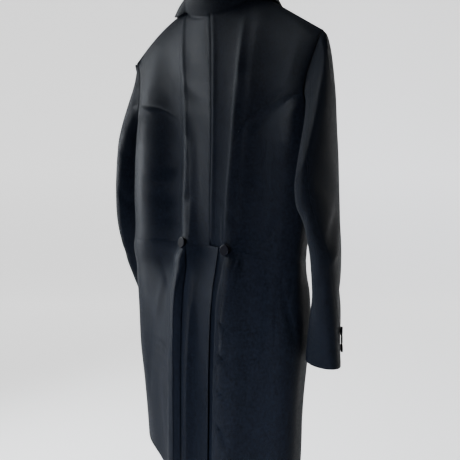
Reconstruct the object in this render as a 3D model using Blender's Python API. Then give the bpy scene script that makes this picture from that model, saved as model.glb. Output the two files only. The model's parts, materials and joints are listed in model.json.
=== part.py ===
"""A black wool morning coat that hangs hollow, seen from behind as it does when nobody wears it.

Metres, +Z up, the wearer's left at +X and the back at +Y. The origin is the centre of the back neck seam.
Each piece a tailor cuts is one wall of cloth. Its outer face is a region of one coat surface, which is read
by a distance along the cloth and a height, and its inner face lies one wall thickness further in.
"""

import functools
import math

import bmesh
import bpy
from mathutils import Vector
from mathutils.bvhtree import BVHTree

# Driving sizes
CLOTH = 0.002
SEAM = 0.0003
CHEST = -0.200
WAIST = -0.438
NECK_HALF = 0.078
NECK_RISE = 0.022
NECK_FORWARD = 0.040
SHOULDER_HALF = 0.222
SHOULDER_FORWARD = 0.020
PLEAT_UNDERLAP = 0.015
VENT_OVERLAP = 0.023
VENT_UNDERLAP = 0.018
VENT_STEP = 0.0036
FRONT_OVERLAP = 0.018
LAY = 0.0030
LAPEL_LAY = 0.0029
WAIST_PITCH = 0.020
CUFF_TILT = 0.020
SLEEVE_SET = 0.0006
BACK_BUTTON_RADIUS = 0.0108
BACK_BUTTON_THICK = 0.0042
CUFF_BUTTON_RADIUS = 0.0075
CUFF_BUTTON_THICK = 0.0034
CUFF_BUTTON_PITCH = 0.0165
CUFF_BUTTON_FIRST = 0.030
CUFF_BUTTON_ANGLE = 13.0
SEAT_REACH = 0.02
FRONT_BUTTON_RADIUS = 0.0100

LEFT = 1
RIGHT = -1
STEP = 0.002
DENSE = 240
SIDE_NAME = {LEFT: "left", RIGHT: "right"}

# Where the buttons sit: distance from the centre back, or past the centre front, and height.
BACK_BUTTON_PLACE = {LEFT: (0.0560, -0.4385), RIGHT: (0.0495, -0.4430)}
FRONT_BUTTON_PLACE = (0.002, -0.428)

# The hanging left shoulder slopes more and stands rounder than the right one.
SHOULDER_DROP = {LEFT: 0.098, RIGHT: 0.086}
CROWN = {LEFT: 0.008, RIGHT: 0.0}

# Level sections of the coat's body, from the chest down. Half is the half width, side the place of the
# widest point, back and front the depths at the centre lines, square the squareness of the corners and
# turn the twist of the hanging coat in degrees.
BODY_COLUMNS = ("height", "half", "side", "back", "front", "square", "turn")
BODY = (
    (-1.00, 0.184, -0.018, 0.044, -0.076, 3.0, 7.0),
    (-0.87, 0.187, -0.020, 0.043, -0.078, 3.0, 7.0),
    (-0.75, 0.193, -0.023, 0.0405, -0.084, 3.0, 7.0),
    (-0.66, 0.197, -0.028, 0.0375, -0.090, 3.0, 7.0),
    (-0.54, 0.192, -0.038, 0.027, -0.100, 3.1, 6.5),
    (-0.44, 0.184, -0.050, 0.004, -0.112, 3.2, 6.0),
    (-0.35, 0.187, -0.056, 0.000, -0.119, 3.2, 5.0),
    (-0.27, 0.189, -0.058, -0.003, -0.122, 3.2, 4.5),
    (-0.20, 0.190, -0.058, -0.005, -0.122, 3.2, 4.0),
)

# The seam between the back and the side body: its distance from the centre back at each height.
SIDE_SEAM_COLUMNS = ("height", "across")
SIDE_SEAM = (
    (-0.460, 0.0490),
    (-0.400, 0.0490),
    (-0.350, 0.0495),
    (-0.312, 0.0510),
    (-0.270, 0.0545),
    (-0.245, 0.0590),
    (-0.225, 0.0665),
    (-0.208, 0.0800),
    (-0.192, 0.0990),
    (-0.177, 0.1200),
    (-0.164, 0.1410),
    (-0.150, 0.1640),
    (-0.140, 0.1792),
)

# The armhole, from the shoulder down to the underarm: distances from the centre back behind the arm
# and from the centre front before it.
ARMHOLE_COLUMNS = ("along", "behind", "before", "height")
ARMHOLE = (
    (0.00, 0.1900, 0.1710, 0.000),
    (0.15, 0.1865, 0.1620, -0.030),
    (0.30, 0.1825, 0.1530, -0.068),
    (0.50, 0.1790, 0.1460, -0.125),
    (0.62, 0.1830, 0.1490, -0.160),
    (0.80, 0.2030, 0.1620, -0.218),
    (0.92, 0.2260, 0.1790, -0.252),
    (1.00, 0.2450, 0.1950, -0.262),
)
SIDE_SEAM_TOP = 0.553

# The underarm seam, as a distance from the centre back at each height.
UNDERARM_SEAM_COLUMNS = ("height", "across")
UNDERARM_SEAM = (
    (-0.470, 0.186),
    (-0.440, 0.189),
    (-0.380, 0.204),
    (-0.310, 0.227),
    (-0.262, 0.245),
)

# How far the waist seam has dropped at each distance from the centre back.
WAIST_LINE_COLUMNS = ("across", "left", "right")
WAIST_LINE = (
    (0.00, 0.000, 0.000),
    (0.05, 0.000, 0.003),
    (0.08, 0.001, 0.008),
    (0.12, 0.003, 0.012),
    (0.16, 0.006, 0.0135),
    (0.20, 0.010, 0.018),
    (0.30, 0.014, 0.023),
    (0.50, 0.010, 0.017),
)

# The rear edge of the skirt, which lies over the tail: its distance from the centre back.
PLEAT_COLUMNS = ("height", "across")
PLEAT = (
    (-1.00, 0.0400),
    (-0.80, 0.0405),
    (-0.60, 0.0430),
    (-0.50, 0.0470),
    (-0.44, 0.0490),
)

# The hem, which rises to the cutaway front: its height at each distance from the centre back.
HEM_COLUMNS = ("across", "height")
HEM = (
    (-0.03, -0.958),
    (0.00, -0.957),
    (0.05, -0.935),
    (0.10, -0.903),
    (0.13, -0.888),
    (0.16, -0.880),
    (0.20, -0.872),
    (0.25, -0.842),
    (0.30, -0.782),
    (0.35, -0.705),
    (0.40, -0.622),
    (0.44, -0.556),
    (0.48, -0.500),
    (0.52, -0.470),
)

# The front edge, which is also the roll line of the lapel: its distance from the centre front.
FRONT_EDGE_COLUMNS = ("height", "inset")
FRONT_EDGE = (
    (-0.46, -0.018),
    (-0.41, -0.018),
    (-0.36, -0.004),
    (-0.30, 0.012),
    (-0.20, 0.036),
    (-0.10, 0.052),
    (0.00, 0.060),
)

# The lapel's outer edge, from the button up to its peak.
LAPEL_COLUMNS = ("along", "inset", "height")
LAPEL = (
    (0.00, -0.006, -0.395),
    (0.15, 0.034, -0.350),
    (0.40, 0.074, -0.275),
    (0.70, 0.108, -0.185),
    (1.00, 0.136, -0.092),
)

# The lapels' upper end, the clearance of the right lapel from the left front and where each lapel starts.
LAPEL_TOP = -0.052
FRONT_CLEAR = 0.005
LAPEL_START = {LEFT: 0.0, RIGHT: 0.09}

# Folds of the hanging cloth above the waist. Each has its place and its height over the surface at the
# shoulder, the chest and the waist, and its half width.
FOLD_HEIGHTS = (0.0, -0.20, -0.34, -0.44)
BODICE_FOLDS = (
    (LEFT, 0.016, (0.074, 0.066, 0.060, 0.055), (0.002, 0.006, 0.011, 0.016)),
    (LEFT, 0.030, (0.110, 0.105, 0.098, 0.094), (-0.001, -0.008, -0.010, -0.010)),
    (LEFT, 0.036, (0.170, 0.178, 0.182, 0.184), (0.001, 0.034, 0.041, 0.038)),
    (RIGHT, 0.016, (0.082, 0.068, 0.057, 0.052), (0.003, 0.007, 0.009, 0.011)),
    (RIGHT, 0.030, (0.125, 0.120, 0.112, 0.105), (-0.001, -0.006, -0.005, -0.002)),
    (RIGHT, 0.020, (0.165, 0.163, 0.162, 0.160), (0.001, 0.004, 0.005, 0.004)),
    (RIGHT, 0.034, (0.195, 0.195, 0.200, 0.200), (0.006, 0.012, 0.004, 0.000)),
    (RIGHT, 0.040, (0.250, 0.250, 0.250, 0.250), (0.000, 0.000, -0.004, -0.010)),
)
SKIRT_FOLD_HEIGHTS = (-0.44, -0.56, -0.68, -0.82, -1.0)
SKIRT_FOLDS = (
    (LEFT, 0.013, (0.034, 0.030, 0.026, 0.023, 0.022), (0.006, 0.006, 0.007, 0.008, 0.008)),
    (LEFT, 0.040, (0.105, 0.115, 0.120, 0.120, 0.120), (-0.008, -0.006, -0.006, -0.005, -0.004)),
    (LEFT, 0.036, (0.185, 0.190, 0.195, 0.190, 0.190), (0.038, 0.013, 0.001, -0.008, -0.013)),
    (RIGHT, 0.024, (0.060, 0.074, 0.082, 0.087, 0.090), (0.009, 0.009, 0.010, 0.010, 0.010)),
    (RIGHT, 0.030, (0.115, 0.128, 0.134, 0.136, 0.136), (-0.003, -0.006, -0.007, -0.007, -0.006)),
    (RIGHT, 0.018, (0.162, 0.166, 0.170, 0.174, 0.175), (0.005, 0.007, 0.005, 0.003, 0.003)),
    (RIGHT, 0.045, (0.250, 0.255, 0.255, 0.255, 0.255), (-0.009, -0.002, -0.010, -0.003, 0.000)),
    (LEFT, 0.030, (0.330, 0.330, 0.330, 0.330, 0.330), (0.002, 0.004, 0.005, 0.006, 0.006)),
    (RIGHT, 0.030, (0.330, 0.320, 0.315, 0.310, 0.310), (0.002, 0.004, 0.005, 0.006, 0.006)),
)
FOLD_CHANGE = 0.06
FOLD_START = 0.024

# The soft rolled edge of the skirt over the tail: distance from the edge and height over the tail.
ROLL_COLUMNS = ("inset", "left", "right")
ROLL = (
    (0.000, 0.0040, 0.0050),
    (0.003, 0.0085, 0.0085),
    (0.007, 0.0125, 0.0108),
    (0.013, 0.0155, 0.0115),
    (0.022, 0.0140, 0.0100),
    (0.038, 0.0060, 0.0048),
    (0.060, 0.0012, 0.0010),
    (0.100, 0.0000, 0.0000),
)
ROLL_GROWTH = 0.034

# How far outwards each sleeve starts, so that it just clears the armhole's edge.
SLEEVE_OFFSET = {LEFT: 0.0024, RIGHT: 0.0018}

# Level sections of each sleeve: centre, half length and half thickness of the flattened tube, the turn of
# its rear edge outwards and the place of the hindarm seam round it, both in degrees.
SLEEVE_COLUMNS = ("height", "out", "back", "long", "thick", "turn", "seam")
SLEEVES = {
    RIGHT: (
        (-0.623, 0.2350, -0.0400, 0.0600, 0.0265, 50.0, 64.0),
        (-0.580, 0.2355, -0.0405, 0.0605, 0.0260, 44.0, 52.0),
        (-0.540, 0.2370, -0.0410, 0.0625, 0.0258, 38.0, 42.0),
        (-0.500, 0.2380, -0.0415, 0.0645, 0.0242, 33.0, 34.0),
        (-0.427, 0.2395, -0.0330, 0.0690, 0.0260, 28.0, 26.0),
        (-0.364, 0.2340, -0.0265, 0.0745, 0.0270, 20.0, 20.0),
        (-0.331, 0.2305, -0.0230, 0.0765, 0.0280, 17.0, 17.0),
        (-0.255, 0.2265, -0.0200, 0.0755, 0.0280, 17.0, 12.0),
    ),
    LEFT: (
        (-0.623, 0.2520, -0.1070, 0.0620, 0.0250, 22.0, 64.0),
        (-0.580, 0.2530, -0.0930, 0.0630, 0.0250, 20.0, 50.0),
        (-0.554, 0.2540, -0.0850, 0.0650, 0.0250, 18.0, 40.0),
        (-0.487, 0.2545, -0.0630, 0.0680, 0.0260, 16.0, 30.0),
        (-0.412, 0.2535, -0.0500, 0.0720, 0.0280, 15.0, 24.0),
        (-0.337, 0.2520, -0.0510, 0.0750, 0.0290, 15.0, 18.0),
        (-0.255, 0.2500, -0.0570, 0.0750, 0.0290, 15.0, 12.0),
    ),
}
SLEEVE_TOP = {LEFT: -0.255, RIGHT: -0.285}
SLEEVE_TOP_TILT = 0.038
ELBOW = -0.380
OUTSIDE = 90.0
FORE_SEAM = 196.0

# How the sleeve leaves the armhole, round the arm: how far it springs out, how far it drops and at which
# place of the left and the right armhole it starts.
CAP_COLUMNS = ("around", "spring", "drop", "left", "right")
CAP = (
    (90.0, 0.018, 0.190, 2.00, 2.00),
    (112.0, 0.034, 0.160, 1.88, 1.81),
    (135.0, 0.042, 0.130, 1.75, 1.60),
    (180.0, 0.045, 0.070, 1.50, 1.10),
    (205.0, 0.026, 0.040, 1.37, 1.02),
    (230.0, 0.018, 0.030, 1.22, 0.88),
    (270.0, 0.006, 0.020, 1.00, 0.74),
    (320.0, 0.030, 0.045, 0.72, 0.57),
    (360.0, 0.045, 0.090, 0.50, 0.43),
    (405.0, 0.042, 0.130, 0.25, 0.22),
    (428.0, 0.034, 0.160, 0.12, 0.11),
    (450.0, 0.018, 0.190, 0.00, 0.00),
)

# The collar from the centre back to its front end: the place of its sewn edge and of its falling edge on
# the coat, both as distances and heights, and the height of its stand.
COLLAR_COLUMNS = ("along", "seam_across", "seam_height", "fall_across", "fall_height", "stand", "gap")
COLLAR_BACK = (
    (0.00, 0.0000, 0.0, 0.0000, -0.0105, 0.028, 0.0110),
    (0.30, 0.0260, 0.0, 0.0330, -0.0110, 0.028, 0.0110),
    (0.60, 0.0500, 0.0, 0.0680, -0.0120, 0.027, 0.0110),
    (0.85, 0.0630, 0.0, 0.0900, -0.0080, 0.025, 0.0105),
    (1.00, 0.0667, 0.0, 0.0980, 0.0000, 0.023, 0.0100),
)
COLLAR_FRONT = (
    (1.00, 0.0600, 0.0000, 0.0860, 0.0000, 0.023, 0.0100),
    (1.30, 0.0590, -0.0150, 0.0930, -0.0200, 0.019, 0.0095),
    (1.65, 0.0575, -0.0320, 0.1000, -0.0430, 0.014, 0.0090),
    (2.00, 0.0555, -0.0500, 0.1060, -0.0640, 0.009, 0.0085),
)


def blend(amount):
    """A soft step from 0 to 1."""
    t = min(max(amount, 0.0), 1.0)
    return t * t * (3.0 - 2.0 * t)


def mix(a, b, t):
    return a + (b - a) * t


def read(rows, columns, name, at):
    """The named column of a table at a value of its first column, along a smooth curve through the rows."""
    column = columns.index(name)
    rows = rows if rows[0][0] < rows[-1][0] else rows[::-1]
    last = len(rows) - 1
    if at <= rows[0][0]:
        return rows[0][column]
    if at >= rows[last][0]:
        return rows[last][column]
    i = next(k for k in range(last) if at <= rows[k + 1][0])

    def slope(k):
        a, b = max(k - 1, 0), min(k + 1, last)
        return (rows[b][column] - rows[a][column]) / (rows[b][0] - rows[a][0])

    width = rows[i + 1][0] - rows[i][0]
    t = (at - rows[i][0]) / width
    start, end = rows[i][column], rows[i + 1][column]
    return (
        start * (1 + 2 * t) * (1 - t) ** 2
        + slope(i) * width * t * (1 - t) ** 2
        + end * t * t * (3 - 2 * t)
        + slope(i + 1) * width * t * t * (t - 1)
    )


def round_power(value, power):
    return math.copysign(abs(value) ** power, value)


@functools.lru_cache(maxsize=None)
def section(height):
    """A level section of the body's left half: points by distance along the cloth from the centre back."""
    half, side, back, front, square = (
        read(BODY, BODY_COLUMNS, name, height) for name in ("half", "side", "back", "front", "square")
    )
    points = []
    for i in range(DENSE + 1):
        angle = math.pi * i / DENSE
        reach = back - side if angle < math.pi / 2 else side - front
        x = half * round_power(math.sin(angle), 2 / square)
        y = side + reach * round_power(math.cos(angle), 2 / square)
        points.append((x, y))
    lengths = [0.0]
    for a, b in zip(points, points[1:]):
        lengths.append(lengths[-1] + math.dist(a, b))
    return points, lengths


def girth(height):
    """The cloth's length from the centre back to the centre front."""
    return section(round(min(height, CHEST), 4))[1][-1]


def around(across, height):
    """The plain section's point at a distance from the centre back, past either centre line too."""
    points, lengths = section(round(height, 4))
    total = lengths[-1]
    flip = 1.0
    if across < 0:
        across, flip = -across, -1.0
    if across > total:
        across, flip = 2 * total - across, -1.0
    low, high = 0, len(lengths) - 1
    while high - low > 1:
        middle = (low + high) // 2
        if lengths[middle] <= across:
            low = middle
        else:
            high = middle
    t = (across - lengths[low]) / (lengths[high] - lengths[low])
    x = mix(points[low][0], points[high][0], t)
    y = mix(points[low][1], points[high][1], t)
    return flip * x, y


def top_line(side, x):
    """Depth and height of the neck edge and the shoulder line at a distance from the centre."""
    x = abs(x)
    if x < NECK_HALF:
        t = (x / NECK_HALF) ** 2
        return -NECK_FORWARD * t, NECK_RISE * t
    t = (x - NECK_HALF) / (SHOULDER_HALF - NECK_HALF)
    swell = CROWN[side] * math.sin(math.pi * min(t, 1.0))
    y = mix(-NECK_FORWARD, -SHOULDER_FORWARD, t) + swell / 2
    return y, NECK_RISE - SHOULDER_DROP[side] * t + swell


def plain(side, across, height):
    """A point of the left half before folds and twist. Above the chest the height is the cloth's own, which
    is 0 along the neck edge and the shoulder line."""
    if height <= CHEST:
        x, y = around(across, height)
        return Vector((x, y, height))
    x, y = around(across, CHEST)
    rise = (height - CHEST) / -CHEST
    total = girth(CHEST)
    if across < total / 2:
        top_x = across * SHOULDER_HALF / ARMHOLE[0][1]
    else:
        top_x = (total - across) * SHOULDER_HALF / ARMHOLE[0][2]
    top_y, top_z = top_line(side, top_x)
    if across >= total / 2 and abs(top_x) < NECK_HALF:
        top_y = -NECK_FORWARD
        top_z = NECK_RISE
    round_over = (1.0 - min(rise, 1.0) ** 3) ** 0.6
    return Vector((
        mix(x, top_x, rise),
        mix(top_y, y, round_over),
        CHEST + rise * (top_z - CHEST),
    ))


def along_heights(values, heights, height):
    """A value given at a few falling heights, read between them."""
    rows = tuple((-h, v) for h, v in zip(heights, values))
    return read(rows, ("height", "value"), "value", -height)


def fold_sum(rows, heights, side, across, height):
    total = 0.0
    for fold_side, width, places, depths in rows:
        if fold_side != side:
            continue
        place = along_heights(places, heights, height)
        depth = along_heights(depths, heights, height)
        total += depth * math.exp(-0.5 * ((across - place) / width) ** 2)
    return total


def waist_height(side, across):
    return WAIST - read(WAIST_LINE, WAIST_LINE_COLUMNS, SIDE_NAME[side], across)


def pleat_edge(height):
    return read(PLEAT, PLEAT_COLUMNS, "across", height)


def folds(side, across, height):
    """Height of the main folds over the plain surface. They fade out at the centre back and the shoulder."""
    if across < 0:
        return folds(-side, -across, height)
    below = waist_height(side, across) - height
    centre = blend(across / FOLD_START) * blend(-height / FOLD_START)
    upper = fold_sum(BODICE_FOLDS, FOLD_HEIGHTS, side, across, height)
    if below <= 0:
        return upper * centre
    lower = fold_sum(SKIRT_FOLDS, SKIRT_FOLD_HEIGHTS, side, across, height)
    return mix(upper, lower, blend(below / FOLD_CHANGE)) * centre


def twist(height):
    return math.radians(read(BODY, BODY_COLUMNS, "turn", height))


def unfolded(side, across, height):
    """The coat without folds."""
    p = plain(side, across, height)
    turn = twist(height)
    x = side * p.x
    return Vector((
        x * math.cos(turn) - p.y * math.sin(turn),
        x * math.sin(turn) + p.y * math.cos(turn),
        p.z,
    ))


def facing(surface, side, across, height):
    """The direction in which a surface of the body faces, outwards."""
    along = surface(side, across + STEP, height) - surface(side, across - STEP, height)
    down = surface(side, across, min(height + STEP, 0.0)) - surface(side, across, height - STEP)
    return (down.cross(along) * side).normalized()


def folded(side, across, height):
    """The coat's outer surface with its folds."""
    height_here = min(height, 0.0)
    base = unfolded(side, across, height_here)
    return base + facing(unfolded, side, across, height_here) * folds(side, across, height_here)


def coat(side, across, height, lift=0.0):
    """A point of the coat's outer surface and its direction, moved out by a lift."""
    direction = facing(folded, side, across, height)
    return folded(side, across, height) + direction * lift, direction


def ridge(side, across, toward):
    """A point of the shoulder seam at half a seam's width behind or before it, with a direction that both
    pieces share."""
    total = girth(CHEST)
    back_to_front = ARMHOLE[0][2] / ARMHOLE[0][1]
    behind = across if across < total / 2 else (total - across) / back_to_front
    before = total - behind * back_to_front
    point, direction = coat(side, across, 0.0)
    direction = (coat(side, behind, 0.0)[1] + coat(side, before, 0.0)[1]).normalized()
    return point + Vector((0.0, toward * SEAM * 2, 0.0)), direction


def from_front(inset, height):
    """The distance from the centre back of a place given from the centre front."""
    return girth(height) - inset


def hem_height(across):
    return read(HEM, HEM_COLUMNS, "height", across)


def armhole(side, along):
    """Distance and height on the coat along the armhole: 0 at the shoulder, 1 at the underarm behind the
    arm, and back up before it to 2 at the shoulder."""
    if along <= 1.0:
        across = read(ARMHOLE, ARMHOLE_COLUMNS, "behind", along)
        return across, read(ARMHOLE, ARMHOLE_COLUMNS, "height", along)
    back = 2.0 - along
    height = read(ARMHOLE, ARMHOLE_COLUMNS, "height", back)
    inset = read(ARMHOLE, ARMHOLE_COLUMNS, "before", back)
    return from_front(inset, height), height


def spread(count, start=0.0, end=1.0):
    """Evenly spaced values with both ends."""
    return [mix(start, end, i / (count - 1)) for i in range(count)]


def material(name, colour, roughness, metallic=0.0):
    made = bpy.data.materials.new(name)
    made.use_nodes = True
    shader = made.node_tree.nodes["Principled BSDF"]
    shader.inputs["Base Color"].default_value = (*colour, 1.0)
    shader.inputs["Roughness"].default_value = roughness
    shader.inputs["Metallic"].default_value = metallic
    return made


def add_object(name, bm, surface_material):
    mesh = bpy.data.meshes.new(name)
    bm.to_mesh(mesh)
    bm.free()
    mesh.materials.append(surface_material)
    mesh.shade_smooth()
    mesh.set_sharp_from_angle(angle=math.radians(40))
    made = bpy.data.objects.new(name, mesh)
    bpy.context.scene.collection.objects.link(made)
    return made


def wall(name, rows, surface_material):
    """A wall of cloth. Each row holds the outer face's points and directions, and the inner face lies one
    cloth thickness further in."""
    columns = len(rows[0])
    bm = bmesh.new()
    bmesh.ops.create_grid(bm, x_segments=columns - 1, y_segments=len(rows) - 1, size=1.0)
    row_of = bm.verts.layers.int.new("row")
    column_of = bm.verts.layers.int.new("column")
    for vert in bm.verts:
        vert[column_of] = round((vert.co.x + 1) / 2 * (columns - 1))
        vert[row_of] = round((vert.co.y + 1) / 2 * (len(rows) - 1))
    extruded = bmesh.ops.extrude_face_region(bm, geom=bm.faces[:])["geom"]
    inner = {item for item in extruded if isinstance(item, bmesh.types.BMVert)}
    for vert in bm.verts:
        point, direction = rows[vert[row_of]][vert[column_of]]
        vert.co = point - direction * CLOTH if vert in inner else point
    bmesh.ops.triangulate(bm, faces=bm.faces)
    bmesh.ops.recalc_face_normals(bm, faces=bm.faces)
    return add_object(name, bm, surface_material)


# Rows shared by the pieces on both sides of a seam
BACK_HEIGHTS = (
    -0.438, -0.410, -0.380, -0.350, -0.318, -0.288, -0.258, -0.235, -0.218, -0.204, -0.190, -0.175,
    -0.160, -0.140, -0.118, -0.090, -0.055, -0.025, -0.008, 0.0,
)
SEAM_ROWS = 14
UNDERARM_ROWS = 8
TAIL_STEPS = (0.0, 0.03, 0.065, 0.11, 0.18, 0.28, 0.39, 0.50, 0.62, 0.75, 0.88, 1.0)


def side_seam(height):
    return read(SIDE_SEAM, SIDE_SEAM_COLUMNS, "across", height)


def side_seam_gap(height):
    """Half the width of the side seam along a level line, which grows where the seam runs nearly level."""
    slope = (side_seam(height + STEP) - side_seam(height - STEP)) / (2 * STEP)
    return SEAM / 2 * math.hypot(1.0, slope)


def armhole_behind(height):
    """The armhole's distance from the centre back at a height, behind the arm."""
    low, high = 0.0, 0.9
    for _ in range(30):
        middle = (low + high) / 2
        if armhole(LEFT, middle)[1] > height:
            low = middle
        else:
            high = middle
    return armhole(LEFT, low)[0]


def back_outer_edge(height):
    if height < BACK_HEIGHTS[SEAM_ROWS - 1] + 1e-6:
        return side_seam(height) - side_seam_gap(height)
    return armhole_behind(height) - SEAM / 2


def make_back(side, cloth):
    """The back half, cut in one with its tail. The left tail laps over the right one below the waist."""
    over = side == LEFT
    name = f"back_{SIDE_NAME[side]}"
    heights = list(BACK_HEIGHTS)
    rows = []

    def row(inner, outer, height, lift):
        return [coat(side, mix(inner, outer, u), height, lift(mix(inner, outer, u))) for u in spread(9)]

    def top_lift(height):
        return -VENT_STEP * blend((WAIST + 0.014 - height) / 0.014) if not over else 0.0

    for step in reversed(TAIL_STEPS[1:]):
        bottom = hem_height(0.02)
        top = WAIST - 0.002
        height = mix(top, bottom, step)
        below = WAIST - height
        if over:
            inner = -VENT_OVERLAP
        else:
            inner = -VENT_UNDERLAP * blend((below - 0.002) / 0.02) + SEAM
        outer = pleat_edge(height) - SEAM + PLEAT_UNDERLAP * blend((below - ROLL_GROWTH) / ROLL_GROWTH)
        base = 0.0 if over else -VENT_STEP
        rows.append(row(inner, outer, height, lambda across, base=base: base))
    if over:
        rows.append(row(-VENT_OVERLAP, pleat_edge(WAIST) - SEAM, WAIST - 0.002, lambda across: 0.0))
    for height in heights[:-1]:
        lift_here = top_lift(height)
        rows.append(row(SEAM / 2, back_outer_edge(height), height, lambda across, base=lift_here: base))
    rows.append([ridge(side, mix(SEAM / 2, back_outer_edge(0.0), u), 1) for u in spread(9)])
    return wall(name, rows, cloth)


def make_side_body(side, cloth):
    """The curved panel between the back and the underarm."""
    left_heights = list(BACK_HEIGHTS[:SEAM_ROWS])
    right = [("seam", v) for v in spread(UNDERARM_ROWS)]
    for along in spread(SEAM_ROWS - UNDERARM_ROWS + 1, 1.0, SIDE_SEAM_TOP + 0.012)[1:]:
        right.append(("armhole", along))
    rows = []
    for index, height in enumerate(left_heights):
        kind, value = right[index]
        left_across = side_seam(height) + side_seam_gap(height)
        left_height = max(height, waist_height(side, left_across) + SEAM / 2)
        if kind == "seam":
            far_height, far = underarm_point(side, value)
            far -= SEAM / 2
        else:
            far, far_height = armhole(side, value)
        if index == 0:
            left_height = waist_height(side, left_across) + SEAM / 2
        line = []
        for u in spread(8):
            across = mix(left_across, far, u)
            here = mix(left_height, far_height, u)
            if index == 0:
                here = waist_height(side, across) + SEAM / 2
            line.append(coat(side, across, here))
        rows.append(line)
    return wall(f"side_body_{SIDE_NAME[side]}", rows, cloth)


def underarm_point(side, v):
    """Height and distance along the underarm seam, from the waist up."""
    bottom = waist_height(side, 0.189) + SEAM / 2
    height = mix(bottom, ARMHOLE[-1][3], v)
    return height, read(UNDERARM_SEAM, UNDERARM_SEAM_COLUMNS, "across", height)


def front_lift(side):
    """The left front laps over the right one near the centre front."""
    def lift(across, height):
        if side == RIGHT:
            return 0.0
        inset = girth(height) - across
        return LAY * blend((0.045 - inset) / 0.022)
    return lift


def make_forepart(side, cloth):
    """The front half above the waist, with the armhole's front and the edge where the lapel rolls."""
    rows = []
    lift = front_lift(side)
    steps = []
    for v in spread(UNDERARM_ROWS):
        height, across = underarm_point(side, v)
        steps.append((across + SEAM / 2, height))
    for along in (1.05, 1.12, 1.22, 1.34, 1.46, 1.58, 1.70, 1.82, 1.92, 2.0):
        across, height = armhole(side, along)
        steps.append((across, height))
    count = len(steps)
    for index, (across, height) in enumerate(steps):
        v = index / (count - 1)
        edge_height = mix(WAIST - 0.014, 0.0, v)
        if index == 0:
            edge_height = None
        line = []
        for u in spread(12):
            if index == 0:
                far = girth(WAIST) + FRONT_OVERLAP
                here_across = mix(across, far, u)
                here = waist_height(side, here_across) + SEAM / 2
            else:
                inset = read(FRONT_EDGE, FRONT_EDGE_COLUMNS, "inset", edge_height)
                far = from_front(inset, edge_height)
                here_across = mix(across, far, u)
                here = mix(height, edge_height, u)
            if index == count - 1:
                line.append(ridge(side, here_across, -1))
            else:
                line.append(coat(side, here_across, here, lift(here_across, here)))
        rows.append(line)
    return wall(f"forepart_{SIDE_NAME[side]}", rows, cloth)


def make_skirt(side, cloth):
    """The skirt from its rolled rear edge round to the cutaway front, sewn on at the waist."""
    fronts = front_lift(side)
    edge = [row[0] for row in ROLL[:5]]
    far = girth(WAIST) + FRONT_OVERLAP - pleat_edge(WAIST)
    side_body = [WAIST_PITCH * (k + 2) for k in range(6)]
    columns = edge + side_body + [mix(side_body[-1], far, u) for u in spread(12)[1:]]
    rows = []
    for v in (1.0, 0.9, 0.8, 0.7, 0.6, 0.5, 0.4, 0.3, 0.2, 0.12, 0.055, 0.02, 0.0):
        line = []
        for inset in columns:
            across = pleat_edge(WAIST) + SEAM / 2 + inset
            top = waist_height(side, across) - SEAM / 2
            height = mix(top, hem_height(across), v)
            across -= (pleat_edge(WAIST) - pleat_edge(height)) * (1 - blend(inset / 0.15))
            growth = blend((top - height) / ROLL_GROWTH)
            lift = read(ROLL, ROLL_COLUMNS, SIDE_NAME[side], inset) * growth
            line.append(coat(side, across, height, lift + fronts(across, height)))
        rows.append(line)
    return wall(f"skirt_{SIDE_NAME[side]}", rows, cloth)


def sleeve_ring(side, height, angle):
    """A point of the sleeve's outer surface below the armhole, at an angle round it from its rear edge."""
    row = {name: read(SLEEVES[side], SLEEVE_COLUMNS, name, height) for name in SLEEVE_COLUMNS[1:]}
    turn = math.radians(row["turn"])
    rear = Vector((side * math.sin(turn), math.cos(turn), 0.0))
    outside = Vector((side * math.cos(turn), -math.sin(turn), 0.0))
    a = math.radians(angle)
    tilt = SLEEVE_TOP_TILT * blend((height - ELBOW) / (SLEEVE_TOP[side] - ELBOW)) * math.sin(a)
    tilt += CUFF_TILT / 2 * blend((ELBOW - height) / (ELBOW - SLEEVES[side][0][0])) * math.cos(a)
    centre = Vector((side * row["out"], row["back"], height + tilt))
    return centre + rear * row["long"] * math.cos(a) + outside * row["thick"] * math.sin(a)


def sleeve_point(side, along, angle):
    """A point of the whole sleeve: from the armhole at -1 over the sleeve head to the first ring at 0, and
    on to the cuff at 1."""
    if along >= 0:
        return sleeve_ring(side, mix(SLEEVE_TOP[side], SLEEVES[side][0][0], along), angle)
    t = along + 1
    end = sleeve_ring(side, SLEEVE_TOP[side], angle)
    below = sleeve_ring(side, SLEEVE_TOP[side] - 0.01, angle)
    round_arm = (angle - 90.0) % 360.0 + 90.0
    start, direction = coat(side, *armhole(side, read(CAP, CAP_COLUMNS, SIDE_NAME[side], round_arm)))
    spring = read(CAP, CAP_COLUMNS, "spring", round_arm)
    drop = read(CAP, CAP_COLUMNS, "drop", round_arm)
    start = start + Vector((side * SLEEVE_OFFSET[side], 0.0, 0.0)) - direction * SLEEVE_SET
    out = Vector((side, 0.0, 0.12)).normalized() * spring * 1.6
    down = (below - end).normalized() * drop
    return (
        start * (1 + 2 * t) * (1 - t) ** 2
        + out * t * (1 - t) ** 2
        + end * t * t * (3 - 2 * t)
        + down * t * t * (t - 1)
    )


SEAM_ANGLE = 0.25
SLEEVE_STEPS = (
    -1.0, -0.90, -0.78, -0.64, -0.48, -0.32, -0.15, 0.0, 0.10, 0.20, 0.30, 0.40, 0.50, 0.60, 0.70, 0.78, 0.86,
    0.93, 1.0,
)
OVER_COLUMNS = (5, 7)
UNDER_COLUMNS = 11


def hindarm_seam(side, along):
    """The angle of the hindarm seam round the sleeve."""
    height = mix(SLEEVE_TOP[side], SLEEVES[side][0][0], max(along, 0.0))
    return read(SLEEVES[side], SLEEVE_COLUMNS, "seam", height) + (0.0 if along >= 0 else -along * -20.0)


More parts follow.
